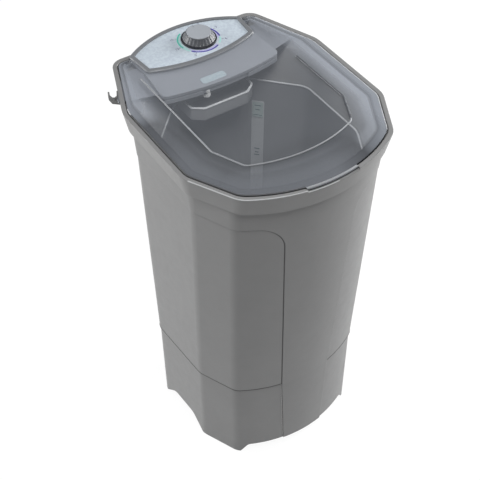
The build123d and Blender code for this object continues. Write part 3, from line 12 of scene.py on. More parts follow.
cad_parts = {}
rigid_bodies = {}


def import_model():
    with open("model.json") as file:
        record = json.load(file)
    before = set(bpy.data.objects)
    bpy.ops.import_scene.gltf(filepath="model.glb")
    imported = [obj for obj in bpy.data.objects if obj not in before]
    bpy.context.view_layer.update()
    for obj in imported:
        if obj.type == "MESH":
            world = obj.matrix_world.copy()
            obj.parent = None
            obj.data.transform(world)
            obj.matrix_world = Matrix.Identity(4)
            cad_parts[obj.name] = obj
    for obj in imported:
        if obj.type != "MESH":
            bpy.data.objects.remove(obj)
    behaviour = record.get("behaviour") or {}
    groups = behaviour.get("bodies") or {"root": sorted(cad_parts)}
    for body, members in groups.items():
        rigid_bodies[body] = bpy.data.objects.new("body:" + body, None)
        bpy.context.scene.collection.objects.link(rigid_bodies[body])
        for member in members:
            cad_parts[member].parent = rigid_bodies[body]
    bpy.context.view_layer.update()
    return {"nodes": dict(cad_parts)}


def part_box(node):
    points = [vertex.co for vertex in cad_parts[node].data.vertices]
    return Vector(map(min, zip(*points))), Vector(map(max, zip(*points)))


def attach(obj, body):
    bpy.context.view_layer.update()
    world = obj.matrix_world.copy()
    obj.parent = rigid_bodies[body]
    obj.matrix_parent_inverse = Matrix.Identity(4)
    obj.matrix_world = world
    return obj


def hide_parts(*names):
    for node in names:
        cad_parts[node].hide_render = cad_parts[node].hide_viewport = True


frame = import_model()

MM = 0.001
Triple = tuple[float, float, float]
Span = tuple[float, float]
Piece = bpy.types.Object
Material = bpy.types.Material
Socket = bpy.types.NodeSocket
WHOLE: Span = (0.0, 1.0)
ALIKE: Triple = (1.0, 1.0, 1.0)

log = logging.getLogger("washer")


class Body(Enum):
    """The bodies of the frame that added pieces ride on."""

    CABINET = "cabinet"
    LID = "lid"
    KNOB = "knob"


class Layout:
    """Node tree of one material, filled from the shader backwards."""

    def __init__(self, name: str) -> None:
        """Start a material that holds only its output and its shader.

        Args:
            name: Name of the new material.
        """
        self.material = bpy.data.materials.new(name)
        self.material.use_nodes = True
        self.tree = self.material.node_tree
        self.shader = next(n for n in self.tree.nodes if n.type == "BSDF_PRINCIPLED")
        self.coordinates = self.node("ShaderNodeTexCoord")

    def fill(self, node: bpy.types.Node, **inputs: object) -> bpy.types.Node:
        """Fill inputs of a node: a socket is linked, any other value is stored.

        Args:
            node: The node.
            inputs: Its inputs by name, with spaces written as underscores.

        Returns:
            The same node.
        """
        for key, value in inputs.items():
            target = node.inputs[key.replace("_", " ")]
            if isinstance(value, Socket):
                self.tree.links.new(value, target)
            else:
                target.default_value = value
        return node

    def node(self, kind: str, **inputs: object) -> bpy.types.Node:
        """Add a node of one of Blender's kinds and fill its inputs."""
        return self.fill(self.tree.nodes.new(kind), **inputs)

    def set(self, **inputs: object) -> None:
        """Fill inputs of the shader."""
        self.fill(self.shader, **inputs)

    def wire(self, node: bpy.types.Node, *sources: Socket) -> None:
        """Link sockets to the first inputs of a node."""
        for source, target in zip(sources, node.inputs):
            self.tree.links.new(source, target)

    def place(self, stretch: Triple = ALIKE) -> Socket:
        """Object coordinates, stretched along the axes."""
        spot = self.coordinates.outputs["Object"]
        return self.node("ShaderNodeMapping", Vector=spot, Scale=stretch).outputs["Vector"]

    def noise(self, size: float, detail: float = 2.0, stretch: Triple = ALIKE) -> Socket:
        """Cloudy noise whose patches have a real size in metres, with octaves of finer noise."""
        look = {"Vector": self.place(stretch), "Scale": 1.0 / size, "Detail": detail, "Roughness": 0.55}
        return self.node("ShaderNodeTexNoise", **look).outputs["Fac"]

    def bands(self, share: Socket, *stops: tuple[float, Triple]) -> Socket:
        """Run through colours as a value rises.

        Args:
            share: The value that drives the colour.
            stops: Two or more places with their colours, in rising order.

        Returns:
            The colour.
        """
        ramp = self.node("ShaderNodeValToRGB", Fac=share)
        marks = ramp.color_ramp.elements
        for spot, _ in stops[2:]:
            marks.new(spot)
        for mark, (spot, colour) in zip(marks, stops):
            mark.position = spot
            mark.color = (*colour, 1.0)
        return ramp.outputs["Color"]

    def blend(self, share: Socket, low: Triple, high: Triple, window: Span = (0.3, 0.7)) -> Socket:
        """Run from one colour to another inside a window of the value."""
        return self.bands(share, (window[0], low), (window[1], high))

    def ramp(self, value: Socket, start: Span, target: Span) -> Socket:
        """Map one range of a value onto another, clamped."""
        ends = zip(("From_Min", "From_Max", "To_Min", "To_Max"), (*start, *target))
        return self.node("ShaderNodeMapRange", Value=value, **dict(ends)).outputs["Result"]

    def span(self, value: Socket, low: float, high: float) -> Socket:
        """Map a noise value of 0.25 to 0.75 onto a range."""
        return self.ramp(value, (0.25, 0.75), (low, high))

    def sum(self, kind: str, *values: Socket) -> Socket:
        """Combine values by one operation of Blender's Math node.

        Args:
            kind: Name of the operation.
            values: Two values.

        Returns:
            The result.
        """
        made = self.node("ShaderNodeMath")
        made.operation = kind
        made.use_clamp = kind == "ADD"
        self.wire(made, *values)
        return made.outputs[0]

    def relief(self, height: Socket, depth: float, edge: float = 0.0) -> None:
        """Raise the surface by a height pattern over softly rounded edges.

        Args:
            height: Height pattern from 0 to 1.
            depth: Height of the pattern in metres.
            edge: Radius that the edges appear to have, in metres.
        """
        bump = self.node("ShaderNodeBump", Strength=1.0, Distance=depth, Height=height)
        if edge > 0:
            bevel = self.node("ShaderNodeBevel", Radius=edge)
            bevel.samples = 4
            self.fill(bump, Normal=bevel.outputs["Normal"])
        self.set(Normal=bump.outputs["Normal"])


@dataclass(frozen=True)
class Finish:
    """A look, which its own kind paints as one material."""

    name: str
    colour: Triple

    def paint(self, sheet: Layout) -> None:
        """Fill the node tree of the material."""
        raise NotImplementedError

    def darker(self, share: float) -> Triple:
        """The finish's colour, darkened by a share."""
        return tuple(c * (1 - share) for c in self.colour)

    def material(self) -> Material:
        """Make the material.

        Returns:
            The material.
        """
        sheet = Layout(self.name)
        self.paint(sheet)
        return sheet.material


@dataclass(frozen=True)
class MouldedPlastic(Finish):
    """Injection-moulded plastic with a spark-eroded grain and faint flow clouds."""

    roughness: float = 0.42
    grain: float = 0.0009
    depth: float = 0.00003
    cloud: float = 0.03
    edge: float = 0.0012

    def paint(self, sheet: Layout) -> None:
        """Paint the plastic.

        Args:
            sheet: The node tree of its material.
        """
        clouds = sheet.blend(sheet.noise(0.09, 4.0), self.darker(self.cloud), self.darker(-self.cloud))
        worn = sheet.span(sheet.noise(0.02, 3.0), self.roughness - 0.04, self.roughness + 0.04)
        sheet.set(Base_Color=clouds, Roughness=worn)
        sheet.relief(sheet.noise(self.grain), self.depth, self.edge)


@dataclass(frozen=True)
class ClearPlastic(Finish):
    """See-through tinted plastic that turns denser at a grazing view."""

    body: float = 0.8
    rim: float = 0.9
    roughness: float = 0.3
    ripple: float = 0.00002
    edge: float = 0.0002

    def paint(self, sheet: Layout) -> None:
        """Paint the plastic.

        Args:
            sheet: The node tree of its material.
        """
        facing = sheet.node("ShaderNodeLayerWeight", Blend=0.35).outputs["Facing"]
        sheet.set(
            Base_Color=sheet.blend(sheet.noise(0.12, 3.0), self.darker(0.03), self.colour),
            Alpha=sheet.span(facing, self.body, self.rim),
            Roughness=sheet.span(sheet.noise(0.03), self.roughness, self.roughness + 0.05),
            Specular_IOR_Level=0.9, Coat_Weight=0.6, Coat_Roughness=0.05,
        )
        sheet.relief(sheet.noise(0.012), self.ripple, self.edge)


@dataclass(frozen=True)
class SmokeLid(Finish):
    """Smoke-tinted clear lid: thin in the middle, denser on its sloped sides, with painted light and shade
    on its border and a skirt painted near-black as the shadow of the gap round it.

    The fields that end in `run` are places in metres between which a tint rises.
    """

    # Painted shadow: near-black tone of the lid's skirt, standing for the shadowed gap between lid and rim.
    skirt: Triple = (0.03, 0.032, 0.036)
    # Painted shade: darker tone laid on the left and front of the sloped border.
    shade: Triple = (0.192, 0.204, 0.226)
    crease: float = 0.930
    edge: float = 0.921
    middle: float = 0.08
    grazing: float = 0.22
    # Painted light: densities of the lighter veil on the sloped border's right, rear-left and front.
    right: float = 0.34
    left: float = 0.38
    front: float = 0.02
    # Painted light: lighter veil along the lid's edge, laid over the shadowed gap beneath.
    rim: float = 0.10
    # Density of the painted shade.
    dusk: float = 0.46
    right_run: Span = (0.10, 0.20)
    left_run: Span = (-0.10, -0.20)
    rear_run: Span = (-0.04, 0.14)
    front_run: Span = (-0.12, 0.0)
    rim_run: Span = (0.9234, 0.9224)
    skirt_run: Span = (0.9206, 0.9198)
    slope_run: Span = (0.928, 0.924)
    forward_run: Span = (0.07, -0.10)
    nose_run: Span = (-0.12, -0.20)
    inward_run: Span = (0.12, 0.02)

    def paint(self, sheet: Layout) -> None:
        """Paint the lid by height and place.

        Args:
            sheet: The node tree of its material.
        """
        spot = sheet.coordinates.outputs["Object"]
        place = sheet.node("ShaderNodeSeparateXYZ", Vector=spot).outputs
        # Share of the painted shade on the border's left and front.
        shade = self.border_shade(sheet, *place)
        # Mask of the skirt: it takes the painted shadow tone and turns nearly opaque.
        below = sheet.ramp(place["Z"], self.skirt_run, WHOLE)
        facing = sheet.node("ShaderNodeLayerWeight", Blend=0.25).outputs["Facing"]
        glance = sheet.span(facing, self.middle, self.middle + self.grazing)
        # Veil: painted light of the border, the denser view at a grazing angle, then the painted shade.
        veil = sheet.sum("ADD", self.border_tint(sheet, *place), glance)
        veil = sheet.sum("ADD", veil, sheet.ramp(shade, WHOLE, (0.0, self.dusk)))
        tone = sheet.sum("MAXIMUM", sheet.ramp(shade, (0.0, 0.2), (0.0, 0.5)), below)
        sheet.set(
            Base_Color=sheet.bands(tone, (0.0, self.colour), (0.5, self.shade), (0.9, self.skirt)),
            Alpha=sheet.sum("MAXIMUM", veil, sheet.sum("MULTIPLY", below, below)),
            Roughness=sheet.span(sheet.noise(0.03), 0.05, 0.10),
            Specular_IOR_Level=0.8, Coat_Weight=0.5, Coat_Roughness=0.05,
        )
        sheet.relief(sheet.noise(0.012), 0.00001)

    def border_tint(self, sheet: Layout, along: Socket, deep: Socket, high: Socket) -> Socket:
        """Density of the painted light on the sloped border's sides and along its edge, over the gap
        beneath that lies in shade.

        Args:
            sheet: The node tree of the material.
            along, deep, high: Object coordinates.

        Returns:
            The density, from 0 to 1.
        """
        right = sheet.ramp(along, self.right_run, (0.0, self.right))
        left = sheet.ramp(along, self.left_run, (0.0, self.left))
        left = sheet.sum("MULTIPLY", left, sheet.ramp(deep, self.rear_run, WHOLE))
        front = sheet.ramp(along, self.front_run, (0.0, self.front))
        sides = sheet.sum("MAXIMUM", sheet.sum("MAXIMUM", right, left), front)
        slope = sheet.ramp(high, (self.crease, self.edge), WHOLE)
        rim = sheet.ramp(high, self.rim_run, (0.0, self.rim))
        return sheet.sum("ADD", sheet.sum("MULTIPLY", slope, sides), rim)

    def border_shade(self, sheet: Layout, along: Socket, deep: Socket, high: Socket) -> Socket:
        """Share of the painted shade on the sloped border's left and front.

        Args:
            sheet: The node tree of the material.
            along, deep, high: Object coordinates.

        Returns:
            The share, from 0 to 1.
        """
        left = sheet.ramp(along, self.left_run, WHOLE)
        left = sheet.sum("MULTIPLY", left, sheet.ramp(deep, self.forward_run, WHOLE))
        front = sheet.ramp(deep, self.nose_run, WHOLE)
        front = sheet.sum("MULTIPLY", front, sheet.ramp(along, self.inward_run, WHOLE))
        slope = sheet.ramp(high, self.slope_run, WHOLE)
        return sheet.sum("MULTIPLY", slope, sheet.sum("MAXIMUM", left, front))


@dataclass(frozen=True)
class PrintedFilm(Finish):
    """Film printed with two pale tones in a faint stone pattern."""

    fleck: Triple = (0.0, 0.0, 0.0)
    size: float = 0.006
    roughness: float = 0.35

    def paint(self, sheet: Layout) -> None:
        """Paint the film.

        Args:
            sheet: The node tree of its material.
        """
        stone = sheet.noise(self.size, 5.0)
        worn = sheet.span(sheet.noise(0.01), self.roughness, self.roughness + 0.08)
        sheet.set(Base_Color=sheet.blend(stone, self.fleck, self.colour, (0.38, 0.62)), Roughness=worn)
        sheet.relief(sheet.noise(0.0006), 0.00001, 0.0006)


@dataclass(frozen=True)
class PrintInk(Finish):
    """Screen-printed ink with a slightly uneven film."""

    roughness: float = 0.45
    alpha: float = 1.0

    def paint(self, sheet: Layout) -> None:
        """Paint the ink.

        Args:
            sheet: The node tree of its material.
        """
        film = sheet.blend(sheet.noise(0.0015, 3.0), self.darker(0.1), self.colour)
        worn = sheet.span(sheet.noise(0.001), self.roughness, self.roughness + 0.1)
        sheet.set(Base_Color=film, Roughness=worn, Alpha=self.alpha)
        sheet.relief(sheet.noise(0.0005), 0.000008)


@dataclass(frozen=True)
class WorkedMetal(Finish):
    """Bare or plated metal with drawn or turned tool lines."""

    roughness: float = 0.3
    lines: Triple = (1.0, 1.0, 14.0)
    stain: float = 0.12
    metallic: float = 1.0

    def paint(self, sheet: Layout) -> None:
        """Paint the metal.

        Args:
            sheet: The node tree of its material.
        """
        stains = sheet.blend(sheet.noise(0.018, 5.0), self.darker(self.stain), self.colour)
        drawn = sheet.noise(0.004, 4.0, self.lines)
        worn = sheet.span(drawn, self.roughness - 0.08, self.roughness + 0.12)
        sheet.set(Base_Color=stains, Roughness=worn, Metallic=self.metallic)
        sheet.relief(drawn, 0.00002, 0.0006)


@dataclass(frozen=True)
class WoundWire(Finish):
    """Lacquered copper wire laid in close turns."""

    pitch: float = 0.0012

    def paint(self, sheet: Layout) -> None:
        """Paint the turns of wire.

        Args:
            sheet: The node tree of its material.
        """
        look = {"Vector": sheet.place(), "Scale": 0.32 / self.pitch, "Distortion": 1.2, "Detail": 2.0}
        wave = sheet.node("ShaderNodeTexWave", **look)
        wave.bands_direction = "Z"
        turns = wave.outputs["Fac"]
        sheet.set(
            Base_Color=sheet.blend(turns, self.darker(0.55), self.colour, (0.1, 0.6)),
            Roughness=sheet.span(sheet.noise(0.004), 0.28, 0.42),
            Metallic=0.7, Coat_Weight=0.5, Coat_Roughness=0.2,
        )
        sheet.relief(turns, 0.0003)


@dataclass(frozen=True)
class Rubber(Finish):
    """Moulded rubber with dusty wear."""

    roughness: float = 0.72
    dust: float = 0.02

    def paint(self, sheet: Layout) -> None:
        """Paint the rubber.

        Args:
            sheet: The node tree of its material.
        """
        dusty = tuple(c + self.dust for c in self.colour)
        dusty = sheet.blend(sheet.noise(0.012, 6.0), self.colour, dusty, (0.4, 0.8))
        worn = sheet.span(sheet.noise(0.006), self.roughness - 0.08, self.roughness + 0.08)
        sheet.set(Base_Color=dusty, Roughness=worn)
        sheet.relief(sheet.noise(0.0012, 3.0), 0.00008, 0.001)


@dataclass(frozen=True)
class Finishes:
    """All finishes of the machine and the CAD nodes that wear them."""

    deck: Finish = MouldedPlastic("deck grey", (0.270, 0.285, 0.315), roughness=0.36)
    tray: Finish = MouldedPlastic("tray grey", (0.30, 0.306, 0.318), roughness=0.38)
    worn: tuple[tuple[Finish, str], ...] = (
        (MouldedPlastic("cabinet grey", (0.207, 0.207, 0.207)),
         "top_frame body_shell base_skirt rear_cover console_cover hose_hook"),
        (MouldedPlastic("tub grey", (0.225, 0.23, 0.238), roughness=0.34), "wash_tub dispenser_tray"),
        (deck, "console_housing"),
        (MouldedPlastic("bezel grey", (0.165, 0.172, 0.183), roughness=0.38), "panel_bezel"),
        (SmokeLid("smoke clear", (0.48, 0.515, 0.575)), "lid"),
        (PrintedFilm("control film", (0.52, 0.585, 0.64), (0.44, 0.495, 0.56)), "panel_overlay"),
        (PrintedFilm("hood plate", (0.43, 0.505, 0.535), (0.36, 0.43, 0.48), 0.004), "fascia_plate"),
        (MouldedPlastic("knob grey", (0.085, 0.088, 0.098), roughness=0.36, edge=0.001), "timer_knob"),
        (MouldedPlastic("knob face", (0.33, 0.335, 0.345), roughness=0.4, grain=0.0006), "knob_cap"),
        (MouldedPlastic("spout white", (0.80, 0.81, 0.81), roughness=0.4),
         "inlet_nozzle inlet_tube inlet_fitting drain_grate"),
        (ClearPlastic("level clear", (0.60, 0.62, 0.635), 0.82, 0.9, roughness=0.3), "level_strip"),
        (MouldedPlastic("pulsator grey", (0.17, 0.175, 0.185), 0.5, depth=0.00001),
         "pulsator_disc pulsator_cap"),
        (MouldedPlastic("drain black", (0.035, 0.036, 0.04), roughness=0.45),
         "drain_elbow drain_outlet timer_body cord_gland motor_fan motor_pulley"),
        (Rubber("rubber black", (0.022, 0.022, 0.024)), "foot_pads shaft_seal drive_belt"),
        (WorkedMetal("zinc plate", (0.58, 0.59, 0.60), 0.32, (14.0, 1.0, 1.0)),
         "rear_cover_screws tub_screws cover_screws housing_screws plate_screws motor_screws "
         "capacitor_clip capacitor_screw pulley_nut drain_clamp hinge_pins "
         "timer_shaft drive_shaft motor_shaft"),
        (WorkedMetal("pressed steel", (0.30, 0.31, 0.33), 0.42, (6.0, 1.0, 1.0), 0.2, 0.85),
         "drive_plate motor_end_caps motor_stator motor_rotor"),
        (WorkedMetal("sintered bronze", (0.48, 0.30, 0.14), 0.45, ALIKE, 0.3), "shaft_bushes"),
        (WorkedMetal("cast alloy", (0.50, 0.51, 0.52), 0.48, ALIKE, 0.15),
         "shaft_housing large_pulley"),
        (WoundWire("copper winding", (0.62, 0.26, 0.10)), "motor_windings"),
        (MouldedPlastic("capacitor can", (0.62, 0.63, 0.64), roughness=0.35), "capacitor"),
    )

    def dress(self, nodes: dict[str, Piece]) -> None:
        """Give every CAD node its finish.

        Args:
            nodes: CAD objects by node name.
        """
        bare = set(nodes)
        for finish, names in self.worn:
            material = finish.material()
            bare -= set(names.split())
            for name in names.split():
                for slot in nodes[name].material_slots:
                    slot.material = material
        log.info("finishes: %d on %d nodes, without one: %s", len(self.worn), len(nodes), sorted(bare))


class Bench:
    """Small steps of mesh work shared by the pieces."""

    SLIVER = 0.0002  # length of the first strip of an arc, in metres
    ARC_STEP = 3  # degrees between two steps of an arc
    SAME = 0.00001  # vertices closer than this are one

    @staticmethod
    def clear() -> None:
        """Deselect everything."""
        for item in bpy.context.view_layer.objects:
            item.select_set(False)

    @staticmethod
    def hold(piece: Piece) -> Piece:
        """Select one object alone and make it active.

        Args:
            piece: The object.

        Returns:
            The same object.
        """
        Bench.clear()
        piece.select_set(True)
        bpy.context.view_layer.objects.active = piece
        return piece

    @staticmethod
    def settle(piece: Piece) -> None:
        """Move the place, turn and size of an object into its mesh."""
        Bench.hold(piece)
        bpy.ops.object.transform_apply(location=True, rotation=True, scale=True)

    @staticmethod
    def finish(piece: Piece, name: str, body: Body, material: Material, slot: str) -> Piece:
        """Name a finished mesh, settle it, colour it and let it ride its body.

        Args:
            piece: The mesh object.
            name: Its name in the model.
            body: The body that carries it.
            material: Its only material.
            slot: Name of the record's material slot; not used.

        Returns:
            The same object.
        """
        Bench.settle(piece)
        piece.name = name
        piece.data.name = name
        piece.data.materials.clear()
        piece.data.materials.append(material)
        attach(piece, body.value)
        log.info("%s: %d faces on %s", name, len(piece.data.polygons), body.value)
        return piece

    @staticmethod
    def join(pieces: list[Piece]) -> Piece:
        """Join meshes into the first of them.

        Args:
            pieces: Mesh objects, at least one.

        Returns:
            The joined object.
        """
        Bench.hold(pieces[0])
        for piece in pieces[1:]:
            piece.select_set(True)
        if len(pieces) > 1:
            bpy.ops.object.join()
        return pieces[0]

    @staticmethod
    def arc_band(
        centre: Vector, radius: float, width: float, start: float, stop: float, height: float
    ) -> Piece:
        """Thin flat band along an arc about Z.

        Args:
            centre: Middle of the arc, at the band's underside.
            radius: Radius of the band's middle line.
            width: Width of the band.
            start: First angle in degrees.
            stop: Last angle in degrees, larger than start.
            height: Thickness of the band.

        Returns:
            The band as a mesh object.
        """
        Bench.clear()
        begin = math.radians(start)
        middle = centre + Vector((math.cos(begin), math.sin(begin), 0)) * radius
        bpy.ops.mesh.primitive_plane_add(size=1, location=middle, rotation=(0, 0, begin))
        band = bpy.context.object
        band.scale = (width, Bench.SLIVER, 1)
        Bench.settle(band)
        bpy.ops.object.mode_set(mode="EDIT")
        bpy.ops.mesh.select_all(action="DESELECT")
        grid = bmesh.from_edit_mesh(band.data)
        side = Vector((-math.sin(begin), math.cos(begin), 0))
        for edge in grid.edges:
            ends = [(v.co - middle).dot(side) for v in edge.verts]
            edge.select_set(min(ends) > 0)
        bmesh.update_edit_mesh(band.data)
        steps = max(4, int((stop - start) / Bench.ARC_STEP))
        bpy.ops.mesh.spin(steps=steps, angle=-math.radians(stop - start), center=centre, axis=(0, 0, 1))
        bpy.ops.mesh.select_all(action="SELECT")
        bpy.ops.mesh.remove_doubles(threshold=Bench.SAME)
        bpy.ops.mesh.normals_make_consistent(inside=False)
        bpy.ops.mesh.extrude_region_move(TRANSFORM_OT_translate={"value": (0, 0, height)})
        bpy.ops.mesh.select_all(action="SELECT")
        bpy.ops.mesh.normals_make_consistent(inside=False)
        bpy.ops.object.mode_set(mode="OBJECT")
        return band

    @staticmethod
    def pad(
        centre: Vector, length: float, width: float, height: float, turn: float = 0.0, corner: float = 0.4
    ) -> Piece:
        """Thin bar with rounded ends, lying flat.

        Args:
            centre: Middle of the bar's underside.
            length: Length of the bar.
            width: Width of the bar.
            height: Thickness of the bar.
            turn: Turn about Z in degrees.
            corner: Share of the width taken by the corner radius.

        Returns:
            The bar as a mesh object.
        """
        Bench.clear()
        middle = centre + Vector((0, 0, height / 2))
        bpy.ops.mesh.primitive_cube_add(size=1, location=middle, rotation=(0, 0, math.radians(turn)))
        bar = bpy.context.object
        bar.scale = (length, width, height)
        bpy.ops.object.transform_apply(location=False, rotation=False, scale=True)
        bpy.ops.object.mode_set(mode="EDIT")
        bpy.ops.mesh.select_all(action="DESELECT")
        grid = bmesh.from_edit_mesh(bar.data)
        for edge in grid.edges:
            edge.select_set(abs(edge.verts[0].co.z - edge.verts[1].co.z) > height / 2)
        bmesh.update_edit_mesh(bar.data)
        bpy.ops.mesh.bevel(offset=width * corner, segments=3)
        bpy.ops.object.mode_set(mode="OBJECT")
        return bar

    @staticmethod
    def number(text: str, centre: Vector, height: float, rise: float) -> Piece:
        """Plain printed number lying flat.

        Args:
            text: The digits.
            centre: Middle of the digits.
            height: Height of the digits.
            rise: Thickness of the print.

        Returns:
            The number as a mesh object.
        """
        Bench.clear()
        bpy.ops.object.text_add()
        made = bpy.context.object
        made.data.body = text
        made.data.size = height * 1.4
        made.data.align_x = "CENTER"
        made.data.align_y = "CENTER"
        made.data.extrude = rise / 2
        bpy.ops.object.convert(target="MESH")
        made = bpy.context.object
        made.location = centre
        Bench.settle(made)
        return made


@dataclass
class PanelPrint:
    """Printed arcs, ticks and plain numbers round the timer knob."""

    centre: Span = (0.020, 0.236)
    rise: float = 0.00015
    outer: float = 0.0482
    inner: float = 0.0438
    broad: float = 0.0036
    fine: float = 0.0022
    tick: Span = (0.004, 0.0012)
    tick_radius: float = 0.0535
    number_radius: float = 0.0612
    number_height: float = 0.0070
    minutes: tuple[Span, ...] = ((0, 60), (3, 19), (6, 330), (9, 232), (12, 186), (15, 150))
    teal: Triple = (0.10, 0.50, 0.40)
    pale_teal: Triple = (0.38, 0.68, 0.64)
    violet: Triple = (0.06, 0.04, 0.32)
    lilac: Triple = (0.45, 0.40, 0.74)
    ink: Triple = (0.16, 0.15, 0.24)

    def arcs(self, top: float) -> None:
        """Lay the coloured arcs.

        Args:
            top: Height of the film's face.
        """
        centre = Vector((*self.centre, top))
        out, low = (self.outer, self.broad), (self.inner, self.fine)
        rows = [
            ("teal", self.teal, [(*out, 121, 192)]),
            ("pale_teal", self.pale_teal, [(*out, 192, 216), (*low, 130, 206), (*out, 312, 340)]),
            ("violet", self.violet, [(*out, 219, 301), (*out, 344, 388)]),
            ("lilac", self.lilac, [(*low, 212, 304), (*low, 336, 384)]),
        ]
        for name, colour, bands in rows:
            made = [Bench.arc_band(centre, r, w, a, b, self.rise) for r, w, a, b in bands]
            ink = PrintInk(f"ink {name}", colour).material()
            Bench.finish(Bench.join(made), f"panel_arc_{name}", Body.CABINET, ink, "panel_white")

    def marks(self, top: float) -> None:
        """Lay the ticks and the minute numbers.

        Args:
            top: Height of the film's face.
        """
        made: list[Piece] = []
        spot = Vector((*self.centre, top))
        for minute, angle in self.minutes:
            a = math.radians(angle)
            out = Vector((math.cos(a), math.sin(a), 0))
            made.append(Bench.pad(spot + out * self.tick_radius, *self.tick, self.rise, angle))
            place = spot + out * self.number_radius
            made.append(Bench.number(str(minute), place, self.number_height, self.rise * 2))
        ink = PrintInk("ink dark", self.ink).material()
        Bench.finish(Bench.join(made), "panel_numbers", Body.CABINET, ink, "panel_white")

    def build(self) -> None:
        """Build all the print on the control film."""
        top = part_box("panel_overlay")[1].z
        self.arcs(top)
        self.marks(top)


@dataclass
class EdgeBead:
    """Rounded bead that follows chosen edges of a CAD node."""

    name: str
    node: str
    radius: float
    body: Body
    slot: str
    finish: Finish
    keep: Callable[[Vector, Vector], bool] = lambda a, b: True
    sharp: Span = (60.0, 120.0)
    shift: Triple = (0, 0, 0)
    cuts: int = 0

    def wanted(self, edge: bmesh.types.BMEdge) -> bool:
        """Whether an edge turns by the right angle and lies in the right place."""
        if len(edge.link_faces) != 2:
            return False
        turn = math.degrees(edge.calc_face_angle(0))
        return self.sharp[0] < turn < self.sharp[1] and self.keep(edge.verts[0].co, edge.verts[1].co)

    def build(self) -> Piece:
        """Trace the edges and give them a round section.

        Returns:
            The bead.
        """
        Bench.clear()
        source = frame["nodes"].get(self.node) or bpy.data.objects[self.node]
        wire = bpy.data.objects.new(self.name, source.data.copy())
        bpy.context.scene.collection.objects.link(wire)
        Bench.hold(wire)
        grid = bmesh.new()
        grid.from_mesh(wire.data)
        bmesh.ops.remove_doubles(grid, verts=grid.verts, dist=2 * Bench.SAME)
        kept = {edge for edge in grid.edges if self.wanted(edge)}
        for edge in [e for e in grid.edges if e not in kept]:
            grid.edges.remove(edge)
        bmesh.ops.subdivide_edges(grid, edges=grid.edges, cuts=self.cuts)
        for edge in [e for e in grid.edges if not self.keep(e.verts[0].co, e.verts[1].co)]:
            grid.edges.remove(edge)
        for vert in [v for v in grid.verts if not v.link_edges]:
            grid.verts.remove(vert)
        bmesh.ops.translate(grid, verts=grid.verts, vec=self.shift)
        grid.to_mesh(wire.data)
        grid.free()
        bpy.ops.object.convert(target="CURVE")
        line = bpy.context.object
        line.data.bevel_depth = self.radius
        line.data.bevel_resolution = 2
        line.data.use_fill_caps = True
        bpy.ops.object.convert(target="MESH")
        bead = bpy.context.object
        bpy.ops.object.shade_smooth()
        return Bench.finish(bead, self.name, self.body, self.finish.material(), self.slot)


@dataclass
class ReworkedMoulding:
    """Copy of a CAD moulding whose front edge is brought to its true place."""

    name: str
    node: str
    slot: str
    finish: Finish
    moves: list[tuple[Callable[[Vector], bool], Triple, Triple]]
    pivot: Triple = (0, 0, 0)
    sharp: float = 30.0

    def move(self, piece: Piece, test: Callable[[Vector], bool], size: Triple, shift: Triple) -> None:
        """Resize and move the vertices that pass a test.

        Args:
            piece: The copy, in edit mode.
            test: Says for a place whether its vertex moves.
            size: Factors about the pivot.
            shift: The move after the resize.
        """
        bpy.ops.mesh.select_all(action="DESELECT")
        mesh = bmesh.from_edit_mesh(piece.data)
        count = 0
        for vertex in mesh.verts:
            if test(vertex.co):
                vertex.select_set(True)
                count += 1
        mesh.select_flush_mode()
        bmesh.update_edit_mesh(piece.data)
        bpy.ops.transform.resize(value=size, center_override=self.pivot)
        bpy.ops.transform.translate(value=shift)
        log.info("%s: moved %d vertices", self.name, count)

    def build(self) -> Piece:
        """Copy the moulding, merge it and make its moves.

        Returns:
            The finished copy, which stands for the CAD node.
        """
        Bench.clear()
        piece = bpy.data.objects.new(self.name, frame["nodes"][self.node].data.copy())
        bpy.context.scene.collection.objects.link(piece)
        Bench.hold(piece)
        bpy.ops.object.mode_set(mode="EDIT")
        bpy.ops.mesh.select_mode(type="VERT")
        bpy.ops.mesh.select_all(action="SELECT")
        bpy.ops.mesh.remove_doubles(threshold=Bench.SAME)
        for test, size, shift in self.moves:
            self.move(piece, test, size, shift)
        bpy.ops.object.mode_set(mode="OBJECT")
        bpy.ops.mesh.customdata_custom_splitnormals_clear()
        bpy.ops.object.shade_smooth_by_angle(angle=math.radians(self.sharp))
        Bench.finish(piece, self.name, Body.CABINET, self.finish.material(), self.slot)
        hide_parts(self.node)
        return piece


def rework_mouldings(finishes: Finishes) -> None:
    """Bring the hood's front edge back and the tray's front forward.

    Args:
        finishes: The finishes of the machine.
    """
    half = 0.160  # half the hood's width
    face = 0.912  # height between the hood's face and its lip
    back = 0.012  # how far the hood's front moves
    deck_front, face_front, lip_front, tray_front = 0.19, 0.125, 0.112, 0.135
    moves = [
        (lambda at: at.y < deck_front and abs(at.x) >= half, (1, 0.4, 1), (0, 0, 0)),
        (lambda at: at.y < face_front and abs(at.x) < half and at.z > face, ALIKE, (0, back, 0.0005)),
        (lambda at: at.y < lip_front and abs(at.x) < half and at.z < face, ALIKE, (0, back, 0)),
    ]
    hood = ReworkedMoulding(
        "console_hood", "console_housing", "tub_plastic", finishes.deck, moves, (0, 0.2, 0)
    )
    moves = [(lambda at: at.y < tray_front, (1.14, 1, 1), (0, -0.017, 0))]
    tray = ReworkedMoulding("detergent_tray", "dispenser_tray", "tub_plastic", finishes.tray, moves)
    for piece in (hood, tray):
        piece.build()


